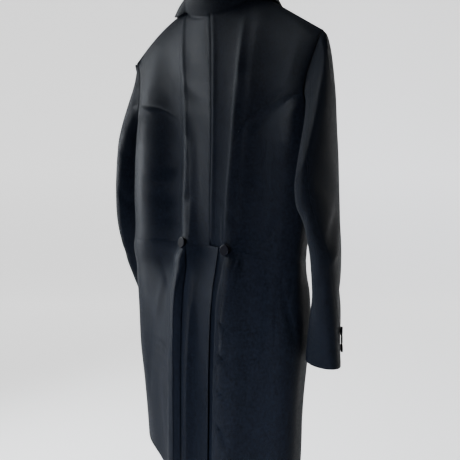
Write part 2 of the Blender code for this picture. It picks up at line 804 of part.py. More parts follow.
def sleeve_grid(side):
    """Rows of the whole sleeve from the cuff up, the top sleeve's columns first, each point with the
    direction in which it faces."""
    points = []
    for along in reversed(SLEEVE_STEPS):
        hind = hindarm_seam(side, along)
        angles = spread(OVER_COLUMNS[0], hind + SEAM_ANGLE, OUTSIDE)
        angles += spread(OVER_COLUMNS[1], OUTSIDE, FORE_SEAM - SEAM_ANGLE)[1:]
        angles += spread(UNDER_COLUMNS, FORE_SEAM + SEAM_ANGLE, hind + 360.0 - SEAM_ANGLE)
        points.append([sleeve_point(side, along, angle) for angle in angles])
    count = len(points[0])
    rows = []
    for i, ring in enumerate(points):
        above, below = points[min(i + 1, len(points) - 1)], points[max(i - 1, 0)]
        facing_out = []
        for j in range(count):
            turn = (ring[(j + 1) % count] - ring[j]).normalized() + (ring[j] - ring[j - 1]).normalized()
            facing_out.append((turn.cross(below[j] - above[j]) * side).normalized())
        for seam in (0, sum(OVER_COLUMNS) - 1):
            turn = (ring[seam + 1] - ring[seam]).normalized() + (ring[seam - 1] - ring[seam - 2]).normalized()
            run = below[seam] - above[seam]
            facing_out[seam] = facing_out[seam - 1] = (turn.cross(run) * side).normalized()
        rows.append(list(zip(ring, facing_out)))
    return rows


def make_sleeve(side, cloth):
    """Both sleeve pieces: the top sleeve round the outside and the under sleeve inside."""
    rows = sleeve_grid(side)
    split = sum(OVER_COLUMNS) - 1
    return (
        wall(f"top_sleeve_{SIDE_NAME[side]}", [row[:split] for row in rows], cloth),
        wall(f"under_sleeve_{SIDE_NAME[side]}", [row[split:] for row in rows], cloth),
    )


def make_lapel(side, cloth):
    """The lapel, turned back on the forepart from the roll line out to its peak."""
    rows = []
    lift = front_lift(side)
    for v in spread(12, LAPEL_START[side], 1.0):
        inner_height = mix(LAPEL[0][2], LAPEL_TOP, v)
        inner = read(FRONT_EDGE, FRONT_EDGE_COLUMNS, "inset", inner_height)
        if side == RIGHT:
            inner = max(inner, FRONT_CLEAR - inner)
        outer = read(LAPEL, LAPEL_COLUMNS, "inset", v)
        outer_height = read(LAPEL, LAPEL_COLUMNS, "height", v)
        line = []
        for u in spread(8):
            height = mix(inner_height, outer_height, u)
            across = from_front(mix(inner, outer, u), height)
            soft = 0.0012 * math.sin(math.pi * u)
            line.append(coat(side, across, height, lift(across, height) + LAPEL_LAY + soft))
        rows.append(line)
    return wall(f"lapel_{SIDE_NAME[side]}", rows, cloth)


def collar_row(side, along):
    """Points of the collar across its width, from its sewn edge over the fold to its falling edge."""
    rows = COLLAR_BACK if along <= 1.0 else COLLAR_FRONT
    row = {name: read(rows, COLLAR_COLUMNS, name, along) for name in COLLAR_COLUMNS[1:]}
    seam_across, fall_across = row["seam_across"], row["fall_across"]
    if along > 1.0:
        seam_across = from_front(seam_across, row["seam_height"])
        fall_across = from_front(fall_across, row["fall_height"])
    sewn, _ = coat(side, seam_across, row["seam_height"])
    fall, fall_direction = coat(side, fall_across, row["fall_height"], 0.0036)
    away = Vector((sewn.x, (sewn.y + 0.045) * (1.0 if along <= 1.0 else 0.4), 0.0))
    away = away.normalized()
    up = Vector((0.0, 0.0, 1.0))
    stand = row["stand"]
    foot = sewn + up * 0.0012 - away * 0.0012
    inside = foot + up * stand * 0.6 - away * 0.001
    fold_in = foot + up * stand * 0.95
    fold_top = foot + up * (stand + 0.003) + away * row["gap"] * 0.45
    fold_out = foot + up * stand * 0.93 + away * row["gap"]
    middle = fold_out.lerp(fall, 0.5) + away * 0.002 + fall_direction * 0.001
    return [foot, inside, fold_in, fold_top, fold_out, middle, fall]


def make_collar(cloth):
    """The turned-down collar, one band round the neck from one gorge to the other."""
    lines = [collar_row(RIGHT, along) for along in spread(13, 2.0, 0.0)]
    lines += [collar_row(LEFT, along) for along in spread(13, 0.0, 2.0)[1:]]
    rows = []
    for i, line in enumerate(lines):
        before, after = lines[max(i - 1, 0)], lines[min(i + 1, len(lines) - 1)]
        row = []
        for j, point in enumerate(line):
            run = after[j] - before[j]
            rise = line[min(j + 1, len(line) - 1)] - line[max(j - 1, 0)]
            row.append((point, rise.cross(run).normalized()))
        rows.append(row)
    return wall("collar", rows, cloth)


def make_button(name, point, direction, radius, thick, face):
    """A round button with softened rims, lying on the cloth."""
    bm = bmesh.new()
    bmesh.ops.create_cone(bm, cap_ends=True, segments=20, radius1=radius, radius2=radius, depth=thick)
    rims = [edge for edge in bm.edges if abs(edge.verts[0].co.z - edge.verts[1].co.z) < thick / 4]
    bmesh.ops.bevel(bm, geom=rims, affect="EDGES", offset=thick * 0.3, segments=2, profile=0.5, material=-1)
    turn = Vector((0.0, 0.0, 1.0)).rotation_difference(direction)
    centre = point + direction * thick / 2
    for vert in bm.verts:
        vert.co = centre + turn @ vert.co
    return add_object(name, bm, face)


def seat(under, point, direction, radius):
    """How far a disc is lifted to lie clear on the pieces under it."""
    turn = Vector((0.0, 0.0, 1.0)).rotation_difference(direction)
    highest = 0.0
    for piece in under:
        mesh = piece.data
        tree = BVHTree.FromPolygons([v.co for v in mesh.vertices], [p.vertices for p in mesh.polygons])
        for ring in spread(5):
            for spoke in range(24):
                angle = math.tau * spoke / 24
                offset = turn @ Vector((math.cos(angle), math.sin(angle), 0.0)) * radius * ring
                hit = tree.ray_cast(point + offset + direction * SEAT_REACH, -direction, SEAT_REACH * 2)[0]
                if hit:
                    highest = max(highest, (hit - point).dot(direction))
    return highest + SEAM


def make_cuff_buttons(side, sleeves, face):
    length = SLEEVE_TOP[side] - SLEEVES[side][0][0]
    for number in range(3):
        along = 1.0 - (CUFF_BUTTON_FIRST + CUFF_BUTTON_PITCH * number) / length
        angle = hindarm_seam(side, along) + CUFF_BUTTON_ANGLE
        point = sleeve_point(side, along, angle)
        turn = sleeve_point(side, along, angle + 1) - sleeve_point(side, along, angle - 1)
        run = sleeve_point(side, along + 0.01, angle) - sleeve_point(side, along - 0.01, angle)
        direction = (turn.cross(run) * side).normalized()
        raised = point + direction * seat(sleeves, point, direction, CUFF_BUTTON_RADIUS)
        name = f"cuff_button_{SIDE_NAME[side]}_{number + 1}"
        make_button(name, raised, direction, CUFF_BUTTON_RADIUS, CUFF_BUTTON_THICK, face)


def main():
    for old in list(bpy.data.objects):
        bpy.data.objects.remove(old, do_unlink=True)
    black = (0.012, 0.014, 0.019)

    def cloth(name):
        return material(name, black, 0.85)

    button_face = material("button", (0.010, 0.010, 0.012), 0.25)
    fronts = []
    for side in (LEFT, RIGHT):
        label = SIDE_NAME[side]
        back = make_back(side, cloth(f"cloth_back_{label}"))
        side_body = make_side_body(side, cloth(f"cloth_side_body_{label}"))
        forepart = make_forepart(side, cloth(f"cloth_forepart_{label}"))
        skirt = make_skirt(side, cloth(f"cloth_skirt_{label}"))
        sleeves = make_sleeve(side, cloth(f"cloth_sleeve_{label}"))
        lapel = make_lapel(side, cloth(f"cloth_lapel_{label}"))
        fronts += [forepart, skirt, lapel]
        make_cuff_buttons(side, sleeves, button_face)
        point, direction = coat(side, *BACK_BUTTON_PLACE[side])
        raised = point + direction * seat([back, side_body, skirt], point, direction, BACK_BUTTON_RADIUS)
        make_button(
            f"back_button_{label}", raised, direction, BACK_BUTTON_RADIUS, BACK_BUTTON_THICK, button_face
        )
    make_collar(cloth("cloth_collar"))
    past, height = FRONT_BUTTON_PLACE
    point, direction = coat(LEFT, girth(height) + past, height)
    raised = point + direction * seat(fronts, point, direction, FRONT_BUTTON_RADIUS)
    make_button("front_button", raised, direction, FRONT_BUTTON_RADIUS, BACK_BUTTON_THICK, button_face)


main()
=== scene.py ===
# %% [markdown]
# ## A black wool morning coat, hanging hollow
# The real coat is cut from wool panels: two backs with long tails, two side bodies, two foreparts, two
# skirts, four sleeve pieces, two lapels and a collar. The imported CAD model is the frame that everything
# here fits. It could be shown as it is, but its walls are coarse facets, so each cloth piece is built
# again with a finer grid and creases.

# %% Load the frame
import functools
import json
import math

import bmesh
import bpy
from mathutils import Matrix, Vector, noise

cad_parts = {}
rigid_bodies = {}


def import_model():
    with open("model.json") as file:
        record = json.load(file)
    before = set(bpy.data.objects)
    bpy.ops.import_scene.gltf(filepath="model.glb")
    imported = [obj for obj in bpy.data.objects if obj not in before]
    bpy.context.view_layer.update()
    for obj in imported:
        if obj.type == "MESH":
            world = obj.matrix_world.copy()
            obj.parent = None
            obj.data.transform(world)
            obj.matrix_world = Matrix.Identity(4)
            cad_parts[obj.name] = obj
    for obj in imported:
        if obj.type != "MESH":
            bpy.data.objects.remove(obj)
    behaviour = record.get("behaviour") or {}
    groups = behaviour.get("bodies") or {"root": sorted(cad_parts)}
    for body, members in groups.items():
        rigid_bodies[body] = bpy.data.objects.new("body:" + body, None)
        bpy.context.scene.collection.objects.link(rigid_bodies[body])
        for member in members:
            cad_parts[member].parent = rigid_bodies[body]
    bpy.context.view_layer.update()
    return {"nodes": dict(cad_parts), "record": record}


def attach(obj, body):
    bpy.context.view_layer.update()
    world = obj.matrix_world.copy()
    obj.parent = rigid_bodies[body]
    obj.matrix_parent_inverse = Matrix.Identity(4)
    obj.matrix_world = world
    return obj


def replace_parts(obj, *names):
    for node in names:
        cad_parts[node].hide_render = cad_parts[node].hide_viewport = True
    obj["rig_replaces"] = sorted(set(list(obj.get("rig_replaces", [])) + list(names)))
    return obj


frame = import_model()

# %% [markdown]
# ## Sizes and the body's sections
# A tailor's draft is a few measures and curves. The same idea works here: level sections of the body, and
# tables for each seam line, read along a smooth curve. Modelling by hand would also work, but a table
# keeps both sides of every seam on one line, and it matches the frame's own walls.

# %% Driving sizes
# Sizes in metres, with heights below the centre-back neck seam. Cloth is the wall's thickness and seam the
# distance between two sewn pieces. Step is the length over which slopes are measured.
CLOTH = 0.002
SEAM = 0.00004
STEP = 0.002
CHEST = -0.200
WAIST = -0.438
SHOULDER_HALF = 0.222

# The wearer's left and right side.
LEFT = 1
RIGHT = -1
SIDE_NAME = {LEFT: "left", RIGHT: "right"}

print("Waist seam at", WAIST, "and shoulder half width", SHOULDER_HALF)

# %% Body sections and armhole
# Level sections of the coat's body, from the chest down. Half is the half width, side the place of the
# widest point, back and front the depths at the centre lines, square the squareness of the corners and
# turn the twist of the hanging coat in degrees.
BODY_COLUMNS = ("height", "half", "side", "back", "front", "square", "turn")
BODY = (
    (-1.00, 0.184, -0.018, 0.044, -0.076, 3.0, 7.0),
    (-0.87, 0.187, -0.020, 0.043, -0.078, 3.0, 7.0),
    (-0.75, 0.193, -0.023, 0.0405, -0.084, 3.0, 7.0),
    (-0.66, 0.197, -0.028, 0.0375, -0.090, 3.0, 7.0),
    (-0.54, 0.192, -0.038, 0.027, -0.100, 3.1, 6.5),
    (-0.44, 0.184, -0.050, 0.004, -0.112, 3.2, 6.0),
    (-0.35, 0.187, -0.056, 0.000, -0.119, 3.2, 5.0),
    (-0.27, 0.189, -0.058, -0.003, -0.122, 3.2, 4.5),
    (-0.20, 0.190, -0.058, -0.005, -0.122, 3.2, 4.0),
)

# The armhole, from the shoulder down to the underarm: distances from the centre back behind the arm
# and from the centre front before it.
ARMHOLE_COLUMNS = ("along", "behind", "before", "height")
ARMHOLE = (
    (0.00, 0.1900, 0.1710, 0.000),
    (0.15, 0.1865, 0.1620, -0.030),
    (0.30, 0.1825, 0.1530, -0.068),
    (0.50, 0.1790, 0.1460, -0.125),
    (0.62, 0.1830, 0.1490, -0.160),
    (0.80, 0.2030, 0.1620, -0.218),
    (0.92, 0.2260, 0.1790, -0.252),
    (1.00, 0.2450, 0.1950, -0.262),
)

print("Body sections:", len(BODY), "armhole points:", len(ARMHOLE))

# %% [markdown]
# ## Reading a table
# A curve through a few rows could be a Bezier curve object. A small cubic reader is lighter, because the
# panels below ask for thousands of values, and it never overshoots past the table's ends.

# %% Table reader
def blend(amount):
    """A soft step from 0 to 1."""
    t = min(max(amount, 0.0), 1.0)
    return t * t * (3.0 - 2.0 * t)


def mix(a, b, t):
    return a + (b - a) * t


def cubic(start, start_run, end, end_run, t):
    """A smooth curve from start to end, which leaves and arrives with the given runs. Both may be vectors."""
    return (
        start * (1 + 2 * t) * (1 - t) ** 2
        + start_run * t * (1 - t) ** 2
        + end * t * t * (3 - 2 * t)
        + end_run * t * t * (t - 1)
    )


def read(rows, columns, name, at):
    """The named column of a table at a value of its first column, along a smooth curve through the rows."""
    column = columns.index(name)
    rows = rows if rows[0][0] < rows[-1][0] else rows[::-1]
    last = len(rows) - 1
    if at <= rows[0][0]:
        return rows[0][column]
    if at >= rows[last][0]:
        return rows[last][column]
    i = next(k for k in range(last) if at <= rows[k + 1][0])

    def slope(k):
        a, b = max(k - 1, 0), min(k + 1, last)
        return (rows[b][column] - rows[a][column]) / (rows[b][0] - rows[a][0])

    width = rows[i + 1][0] - rows[i][0]
    t = (at - rows[i][0]) / width
    return cubic(rows[i][column], slope(i) * width, rows[i + 1][column], slope(i + 1) * width, t)


def spread(count, start=0.0, end=1.0):
    """Evenly spaced values with both ends."""
    return [mix(start, end, i / (count - 1)) for i in range(count)]


print("Half width at the waist:", round(read(BODY, BODY_COLUMNS, "half", WAIST), 4))

# %% [markdown]
# ## The plain body
# The body is a rounded box in section, a superellipse that turns a few degrees as it falls, because the
# coat hangs slightly twisted. Above the chest it closes over the shoulders to the neck and the shoulder
# seam.

# %% Sections along the cloth
# Points of half a section.
DENSE = 240


def round_power(value, power):
    """A power that keeps the value's sign."""
    return math.copysign(abs(value) ** power, value)


@functools.lru_cache(maxsize=None)
def section(height):
    """A level section of the body's left half: points by distance along the cloth from the centre back."""
    half, side, back, front, square = (
        read(BODY, BODY_COLUMNS, name, height) for name in ("half", "side", "back", "front", "square")
    )
    points = []
    for i in range(DENSE + 1):
        angle = math.pi * i / DENSE
        reach = back - side if angle < math.pi / 2 else side - front
        x = half * round_power(math.sin(angle), 2 / square)
        y = side + reach * round_power(math.cos(angle), 2 / square)
        points.append((x, y))
    lengths = [0.0]
    for a, b in zip(points, points[1:]):
        lengths.append(lengths[-1] + math.dist(a, b))
    return points, lengths


def girth(height):
    """The cloth's length from the centre back to the centre front."""
    return section(round(min(height, CHEST), 4))[1][-1]


def around(across, height):
    """The plain section's point at a distance from the centre back, past either centre line too."""
    points, lengths = section(round(height, 4))
    total = lengths[-1]
    flip = 1.0
    if across < 0:
        across, flip = -across, -1.0
    if across > total:
        across, flip = 2 * total - across, -1.0
    low, high = 0, len(lengths) - 1
    while high - low > 1:
        middle = (low + high) // 2
        if lengths[middle] <= across:
            low = middle
        else:
            high = middle
    t = (across - lengths[low]) / (lengths[high] - lengths[low])
    x = mix(points[low][0], points[high][0], t)
    y = mix(points[low][1], points[high][1], t)
    return flip * x, y


print("Half girth at the chest:", round(girth(CHEST), 4))

# %% Shoulders
# The neck edge's half width, rise and how far forward it lies, and the same for the shoulder's end. The
# hanging left shoulder slopes more and stands rounder than the right one.
NECK_HALF = 0.078
NECK_RISE = 0.022
NECK_FORWARD = 0.040
SHOULDER_FORWARD = 0.020
SHOULDER_DROP = {LEFT: 0.098, RIGHT: 0.086}
CROWN = {LEFT: 0.008, RIGHT: 0.0}


def top_line(side, x):
    """Depth and height of the neck edge and the shoulder line at a distance from the centre."""
    x = abs(x)
    if x < NECK_HALF:
        t = (x / NECK_HALF) ** 2
        return -NECK_FORWARD * t, NECK_RISE * t
    t = (x - NECK_HALF) / (SHOULDER_HALF - NECK_HALF)
    swell = CROWN[side] * math.sin(math.pi * min(t, 1.0))
    y = mix(-NECK_FORWARD, -SHOULDER_FORWARD, t) + swell / 2
    return y, NECK_RISE - SHOULDER_DROP[side] * t + swell


print("Shoulder's end:", [round(v, 4) for v in top_line(LEFT, SHOULDER_HALF)])

# %% The plain surface
# Powers that round the section over from the chest to the shoulder.
ROUND_START = 3
ROUND_END = 0.6


def plain(side, across, height):
    """A point of the left half before folds and twist. Above the chest the height is the cloth's own, which
    is 0 along the neck edge and the shoulder line."""
    if height <= CHEST:
        x, y = around(across, height)
        return Vector((x, y, height))
    x, y = around(across, CHEST)
    rise = (height - CHEST) / -CHEST
    total = girth(CHEST)
    if across < total / 2:
        top_x = across * SHOULDER_HALF / ARMHOLE[0][1]
    else:
        top_x = (total - across) * SHOULDER_HALF / ARMHOLE[0][2]
    top_y, top_z = top_line(side, top_x)
    if across >= total / 2 and abs(top_x) < NECK_HALF:
        top_y = -NECK_FORWARD
        top_z = NECK_RISE
    round_over = (1.0 - min(rise, 1.0) ** ROUND_START) ** ROUND_END
    return Vector((
        mix(x, top_x, rise),
        mix(top_y, y, round_over),
        CHEST + rise * (top_z - CHEST),
    ))


print("Side of the chest:", [round(v, 4) for v in plain(LEFT, girth(CHEST) / 2, CHEST)])

# %% [markdown]
# ## Large folds
# An empty coat folds where the body would fill it. Each fold is a soft ridge or trough with a place, a
# height and a width that change down the coat. A cloth simulation could find such folds too, but not
# these very ones.

# %% Fold tables
# Folds of the hanging cloth above the waist. Each has its place and its height over the surface at the
# shoulder, the chest and the waist, and its half width.
FOLD_HEIGHTS = (0.0, -0.20, -0.34, -0.44)
BODICE_FOLDS = (
    (LEFT, 0.016, (0.074, 0.066, 0.060, 0.055), (0.002, 0.006, 0.011, 0.016)),
    (LEFT, 0.030, (0.110, 0.105, 0.098, 0.094), (-0.001, -0.008, -0.010, -0.010)),
    (LEFT, 0.036, (0.170, 0.178, 0.182, 0.184), (0.001, 0.034, 0.041, 0.038)),
    (RIGHT, 0.016, (0.082, 0.068, 0.057, 0.052), (0.003, 0.007, 0.009, 0.011)),
    (RIGHT, 0.030, (0.125, 0.120, 0.112, 0.105), (-0.001, -0.006, -0.005, -0.002)),
    (RIGHT, 0.020, (0.165, 0.163, 0.162, 0.160), (0.001, 0.004, 0.005, 0.004)),
    (RIGHT, 0.034, (0.195, 0.195, 0.200, 0.200), (0.006, 0.012, 0.004, 0.000)),
    (RIGHT, 0.040, (0.250, 0.250, 0.250, 0.250), (0.000, 0.000, -0.004, -0.010)),
)
SKIRT_FOLD_HEIGHTS = (-0.44, -0.56, -0.68, -0.82, -1.0)
SKIRT_FOLDS = (
    (LEFT, 0.013, (0.034, 0.030, 0.026, 0.023, 0.022), (0.006, 0.006, 0.007, 0.008, 0.008)),
    (LEFT, 0.040, (0.105, 0.115, 0.120, 0.120, 0.120), (-0.008, -0.006, -0.006, -0.005, -0.004)),
    (LEFT, 0.036, (0.185, 0.190, 0.195, 0.190, 0.190), (0.038, 0.013, 0.001, -0.008, -0.013)),
    (RIGHT, 0.024, (0.060, 0.074, 0.082, 0.087, 0.090), (0.009, 0.009, 0.010, 0.010, 0.010)),
    (RIGHT, 0.030, (0.115, 0.128, 0.134, 0.136, 0.136), (-0.003, -0.006, -0.007, -0.007, -0.006)),
    (RIGHT, 0.018, (0.162, 0.166, 0.170, 0.174, 0.175), (0.005, 0.007, 0.005, 0.003, 0.003)),
    (RIGHT, 0.045, (0.250, 0.255, 0.255, 0.255, 0.255), (-0.009, -0.002, -0.010, -0.003, 0.000)),
    (LEFT, 0.030, (0.330, 0.330, 0.330, 0.330, 0.330), (0.002, 0.004, 0.005, 0.006, 0.006)),
    (RIGHT, 0.030, (0.330, 0.320, 0.315, 0.310, 0.310), (0.002, 0.004, 0.005, 0.006, 0.006)),
)

print("Large folds:", len(BODICE_FOLDS), "above the waist and", len(SKIRT_FOLDS), "below it")

# %% Fold heights
# How far the waist seam has dropped at each distance from the centre back.
WAIST_LINE_COLUMNS = ("across", "left", "right")
WAIST_LINE = (
    (0.00, 0.000, 0.000),
    (0.05, 0.000, 0.003),
    (0.08, 0.001, 0.008),
    (0.12, 0.003, 0.012),
    (0.16, 0.006, 0.0135),
    (0.20, 0.010, 0.018),
    (0.30, 0.014, 0.023),
    (0.50, 0.010, 0.017),
)

# The height over which the skirt's folds take over from the bodice's, and the length over which folds grow
# from the centre back and from the shoulder.
FOLD_CHANGE = 0.06
FOLD_START = 0.024


def waist_height(side, across):
    """The waist seam's height at a distance from the centre back."""
    return WAIST - read(WAIST_LINE, WAIST_LINE_COLUMNS, SIDE_NAME[side], across)


def along_heights(values, heights, height):
    """A value given at a few falling heights, read between them."""
    rows = tuple((-h, v) for h, v in zip(heights, values))
    return read(rows, ("height", "value"), "value", -height)


def fold_sum(rows, heights, side, across, height):
    """Height of all folds of a table at a place."""
    total = 0.0
    for fold_side, width, places, depths in rows:
        if fold_side != side:
            continue
        place = along_heights(places, heights, height)
        depth = along_heights(depths, heights, height)
        total += depth * math.exp(-0.5 * ((across - place) / width) ** 2)
    return total


def folds(side, across, height):
    """Height of the main folds over the plain surface. They fade out at the centre back and the shoulder."""
    if across < 0:
        return folds(-side, -across, height)
    below = waist_height(side, across) - height
    centre = blend(across / FOLD_START) * blend(-height / FOLD_START)
    upper = fold_sum(BODICE_FOLDS, FOLD_HEIGHTS, side, across, height)
    if below <= 0:
        return upper * centre
    lower = fold_sum(SKIRT_FOLDS, SKIRT_FOLD_HEIGHTS, side, across, height)
    return mix(upper, lower, blend(below / FOLD_CHANGE)) * centre


print("Fold beside the left back button:", round(folds(LEFT, BODICE_FOLDS[0][2][-1], WAIST), 4))

# %% [markdown]
# ## Fine creases
# Small creases come from wear and from how the cloth hangs: short diagonal pulls under the waist and
# dents above it. They could be sculpted. Here each is one row: where it starts and ends, its half width
# and its depth, so that they stay uneven and placed one by one. The hidden sides get similar ones.

# %% Crease table
# Each row holds the side, the distance and height where the crease starts and where it ends, its half width
# and its height over the cloth, which is below 0 in a dent. The first rows are long ridges down the backs,
# with their troughs, the collar's hollow and the rims of the pleats, and the others are short pulls.
CREASES = (
    (LEFT, 0.071, -0.020, 0.063, -0.230, 0.0050, 0.0016),
    (LEFT, 0.064, -0.190, 0.061, -0.440, 0.0060, 0.0018),
    (LEFT, 0.066, -0.340, 0.072, -0.450, 0.0050, 0.0010),
    (LEFT, 0.083, -0.060, 0.078, -0.330, 0.0100, -0.0012),
    (LEFT, 0.052, -0.445, 0.066, -0.560, 0.0060, 0.0016),
    (LEFT, 0.066, -0.530, 0.061, -0.720, 0.0060, 0.0018),
    (LEFT, 0.061, -0.680, 0.060, -0.960, 0.0060, 0.0018),
    (LEFT, 0.000, -0.0145, 0.085, -0.0150, 0.0030, -0.0010),
    (RIGHT, 0.000, -0.0145, 0.085, -0.0150, 0.0030, -0.0010),
    (RIGHT, 0.006, -0.015, 0.006, -0.300, 0.0045, 0.0011),
    (RIGHT, 0.006, -0.250, 0.006, -0.435, 0.0045, 0.0011),
    (RIGHT, 0.063, -0.030, 0.058, -0.220, 0.0060, 0.0018),
    (RIGHT, 0.059, -0.180, 0.043, -0.430, 0.0060, 0.0020),
    (RIGHT, 0.077, -0.040, 0.072, -0.260, 0.0070, -0.0014),
    (RIGHT, 0.072, -0.220, 0.060, -0.420, 0.0070, -0.0014),
    (RIGHT, 0.032, -0.380, 0.036, -0.440, 0.0045, 0.0012),
    (RIGHT, 0.130, -0.230, 0.130, -0.400, 0.0100, 0.0014),
    (RIGHT, 0.160, -0.040, 0.150, -0.180, 0.0080, 0.0010),
    (RIGHT, 0.124, -0.176, 0.146, -0.152, 0.0040, -0.0010),
    (RIGHT, 0.060, -0.240, 0.086, -0.205, 0.0040, -0.0009),
    (RIGHT, 0.044, -0.450, 0.050, -0.560, 0.0060, 0.0016),
    (RIGHT, 0.048, -0.660, 0.082, -0.620, 0.0060, -0.0016),
    (RIGHT, 0.046, -0.725, 0.086, -0.680, 0.0060, -0.0016),
    (RIGHT, 0.048, -0.755, 0.080, -0.805, 0.0060, -0.0012),
    (RIGHT, 0.060, -0.860, 0.086, -0.800, 0.0060, 0.0012),
    (LEFT, 0.028, -0.560, 0.026, -0.980, 0.0100, 0.0020),
    (RIGHT, 0.028, -0.560, 0.028, -0.980, 0.0120, -0.0024),
    (LEFT, 0.060, -0.655, 0.120, -0.648, 0.006, -0.0012),
    (LEFT, 0.062, -0.690, 0.110, -0.700, 0.007, -0.0010),
    (LEFT, 0.090, -0.540, 0.125, -0.480, 0.008, -0.0016),
    (LEFT, 0.130, -0.620, 0.110, -0.500, 0.010, 0.0018),
    (LEFT, 0.150, -0.760, 0.140, -0.600, 0.012, -0.0016),
    (LEFT, 0.080, -0.860, 0.100, -0.720, 0.012, 0.0012),
    (LEFT, 0.040, -0.330, 0.075, -0.385, 0.008, -0.0012),
    (LEFT, 0.075, -0.290, 0.150, -0.320, 0.010, -0.0018),
    (LEFT, 0.090, -0.370, 0.150, -0.350, 0.009, -0.0016),
    (LEFT, 0.060, -0.410, 0.130, -0.400, 0.007, -0.0010),
    (LEFT, 0.110, -0.200, 0.165, -0.150, 0.010, -0.0018),
    (LEFT, 0.030, -0.160, 0.090, -0.120, 0.012, -0.0010),
    (LEFT, 0.250, -0.420, 0.300, -0.330, 0.009, -0.0018),
    (LEFT, 0.300, -0.400, 0.400, -0.440, 0.009, 0.0014),
    (LEFT, 0.280, -0.560, 0.360, -0.470, 0.010, -0.0018),
    (LEFT, 0.240, -0.700, 0.270, -0.520, 0.012, 0.0016),
    (RIGHT, 0.052, -0.560, 0.082, -0.600, 0.004, -0.0010),
    (RIGHT, 0.050, -0.620, 0.080, -0.655, 0.005, -0.0012),
    (RIGHT, 0.050, -0.690, 0.076, -0.720, 0.005, -0.0009),
    (RIGHT, 0.052, -0.760, 0.074, -0.785, 0.005, -0.0008),
    (RIGHT, 0.160, -0.480, 0.195, -0.590, 0.005, -0.0022),
    (RIGHT, 0.158, -0.480, 0.160, -0.600, 0.005, -0.0018),
    (RIGHT, 0.180, -0.480, 0.180, -0.530, 0.004, -0.0014),
    (RIGHT, 0.120, -0.700, 0.150, -0.560, 0.012, 0.0014),
    (RIGHT, 0.100, -0.900, 0.110, -0.740, 0.014, -0.0014),
    (RIGHT, 0.030, -0.350, 0.070, -0.390, 0.008, -0.0012),
    (RIGHT, 0.075, -0.300, 0.130, -0.340, 0.009, -0.0014),
    (RIGHT, 0.120, -0.420, 0.160, -0.370, 0.007, -0.0014),
    (RIGHT, 0.100, -0.220, 0.165, -0.170, 0.010, -0.0016),
    (RIGHT, 0.040, -0.140, 0.110, -0.110, 0.012, -0.0010),
    (RIGHT, 0.240, -0.430, 0.290, -0.350, 0.009, -0.0018),
    (RIGHT, 0.300, -0.390, 0.380, -0.430, 0.009, 0.0014),
    (RIGHT, 0.280, -0.570, 0.350, -0.480, 0.010, -0.0018),
    (RIGHT, 0.250, -0.740, 0.280, -0.560, 0.012, 0.0016),
)

print("Creases on the body:", len(CREASES))

# %% Crease heights
# How much stronger all creases are than their rows say, and how far a crease reaches in half widths. Its
# ends keep a share of its full height.
CREASE_GAIN = 1.5
CREASE_REACH = 3
CREASE_END = 0.35

# Height, size and downward stretch of the cloth's slight unevenness, which fades out at the neck.
UNEVEN = 0.0011
UNEVEN_SIZE = 0.055
UNEVEN_STRETCH = 2.2
UNEVEN_START = 0.05


def along_segment(u, v, row):
    """The height of a crease row at a place: full at the middle of its line, fading to its ends and sides."""
    _, u0, v0, u1, v1, width, depth = row
    du, dv = u1 - u0, v1 - v0
    t = min(max(((u - u0) * du + (v - v0) * dv) / (du * du + dv * dv), 0.0), 1.0)
    away = math.hypot(u - u0 - t * du, v - v0 - t * dv)
    if away > CREASE_REACH * width:
        return 0.0
    strength = CREASE_END + (1 - CREASE_END) * math.sin(math.pi * t)
    return depth * math.exp(-((away / width) ** 2)) * strength


def creases(side, across, height):
    """Fine creases and a slight unevenness of the cloth, over the large folds."""
    total = sum(along_segment(across, height, row) for row in CREASES if row[0] == side) * CREASE_GAIN
    seed = Vector((side * across / UNEVEN_SIZE, height / UNEVEN_SIZE / UNEVEN_STRETCH, 3.0))
    return total + UNEVEN * noise.noise(seed) * blend(-height / UNEVEN_START)


print("Deepest crease:", round(min(row[-1] for row in CREASES) * CREASE_GAIN, 4))

# %% The coat's surface
def twist(height):
    """How far the coat has turned at a height."""
    return math.radians(read(BODY, BODY_COLUMNS, "turn", height))


def unfolded(side, across, height):
    """The coat without folds."""
    p = plain(side, across, height)
    turn = twist(height)
    x = side * p.x
    return Vector((
        x * math.cos(turn) - p.y * math.sin(turn),
        x * math.sin(turn) + p.y * math.cos(turn),
        p.z,
    ))


def facing(surface, side, across, height):
    """The direction in which a surface of the body faces, outwards."""
    along = surface(side, across + STEP, height) - surface(side, across - STEP, height)
    down = surface(side, across, min(height + STEP, 0.0)) - surface(side, across, height - STEP)
    return (down.cross(along) * side).normalized()


def folded(side, across, height):
    """The coat's outer surface with its folds."""
    height_here = min(height, 0.0)
    base = unfolded(side, across, height_here)
    raised = folds(side, across, height_here) + creases(side, across, height_here)
    return base + facing(unfolded, side, across, height_here) * raised


def coat(side, across, height, lift=0.0):
    """A point of the coat's outer surface and its direction, moved out by a lift."""
    direction = facing(folded, side, across, height)
    return folded(side, across, height) + direction * lift, direction


print("Centre back at the waist:", [round(v, 4) for v in coat(LEFT, 0.0, WAIST)[0]])

# %% Shoulder seam and armhole
def ridge(side, across, toward):
    """A point of the shoulder seam at half a seam's width behind or before it, with a direction that both
    pieces share."""
    total = girth(CHEST)
    back_to_front = ARMHOLE[0][2] / ARMHOLE[0][1]
    behind = across if across < total / 2 else (total - across) / back_to_front
    before = total - behind * back_to_front
    point, _ = coat(side, across, 0.0)
    direction = (coat(side, behind, 0.0)[1] + coat(side, before, 0.0)[1]).normalized()
    return point + Vector((0.0, toward * SEAM * 2, 0.0)), direction


def from_front(inset, height):
    """The distance from the centre back of a place given from the centre front."""
    return girth(height) - inset


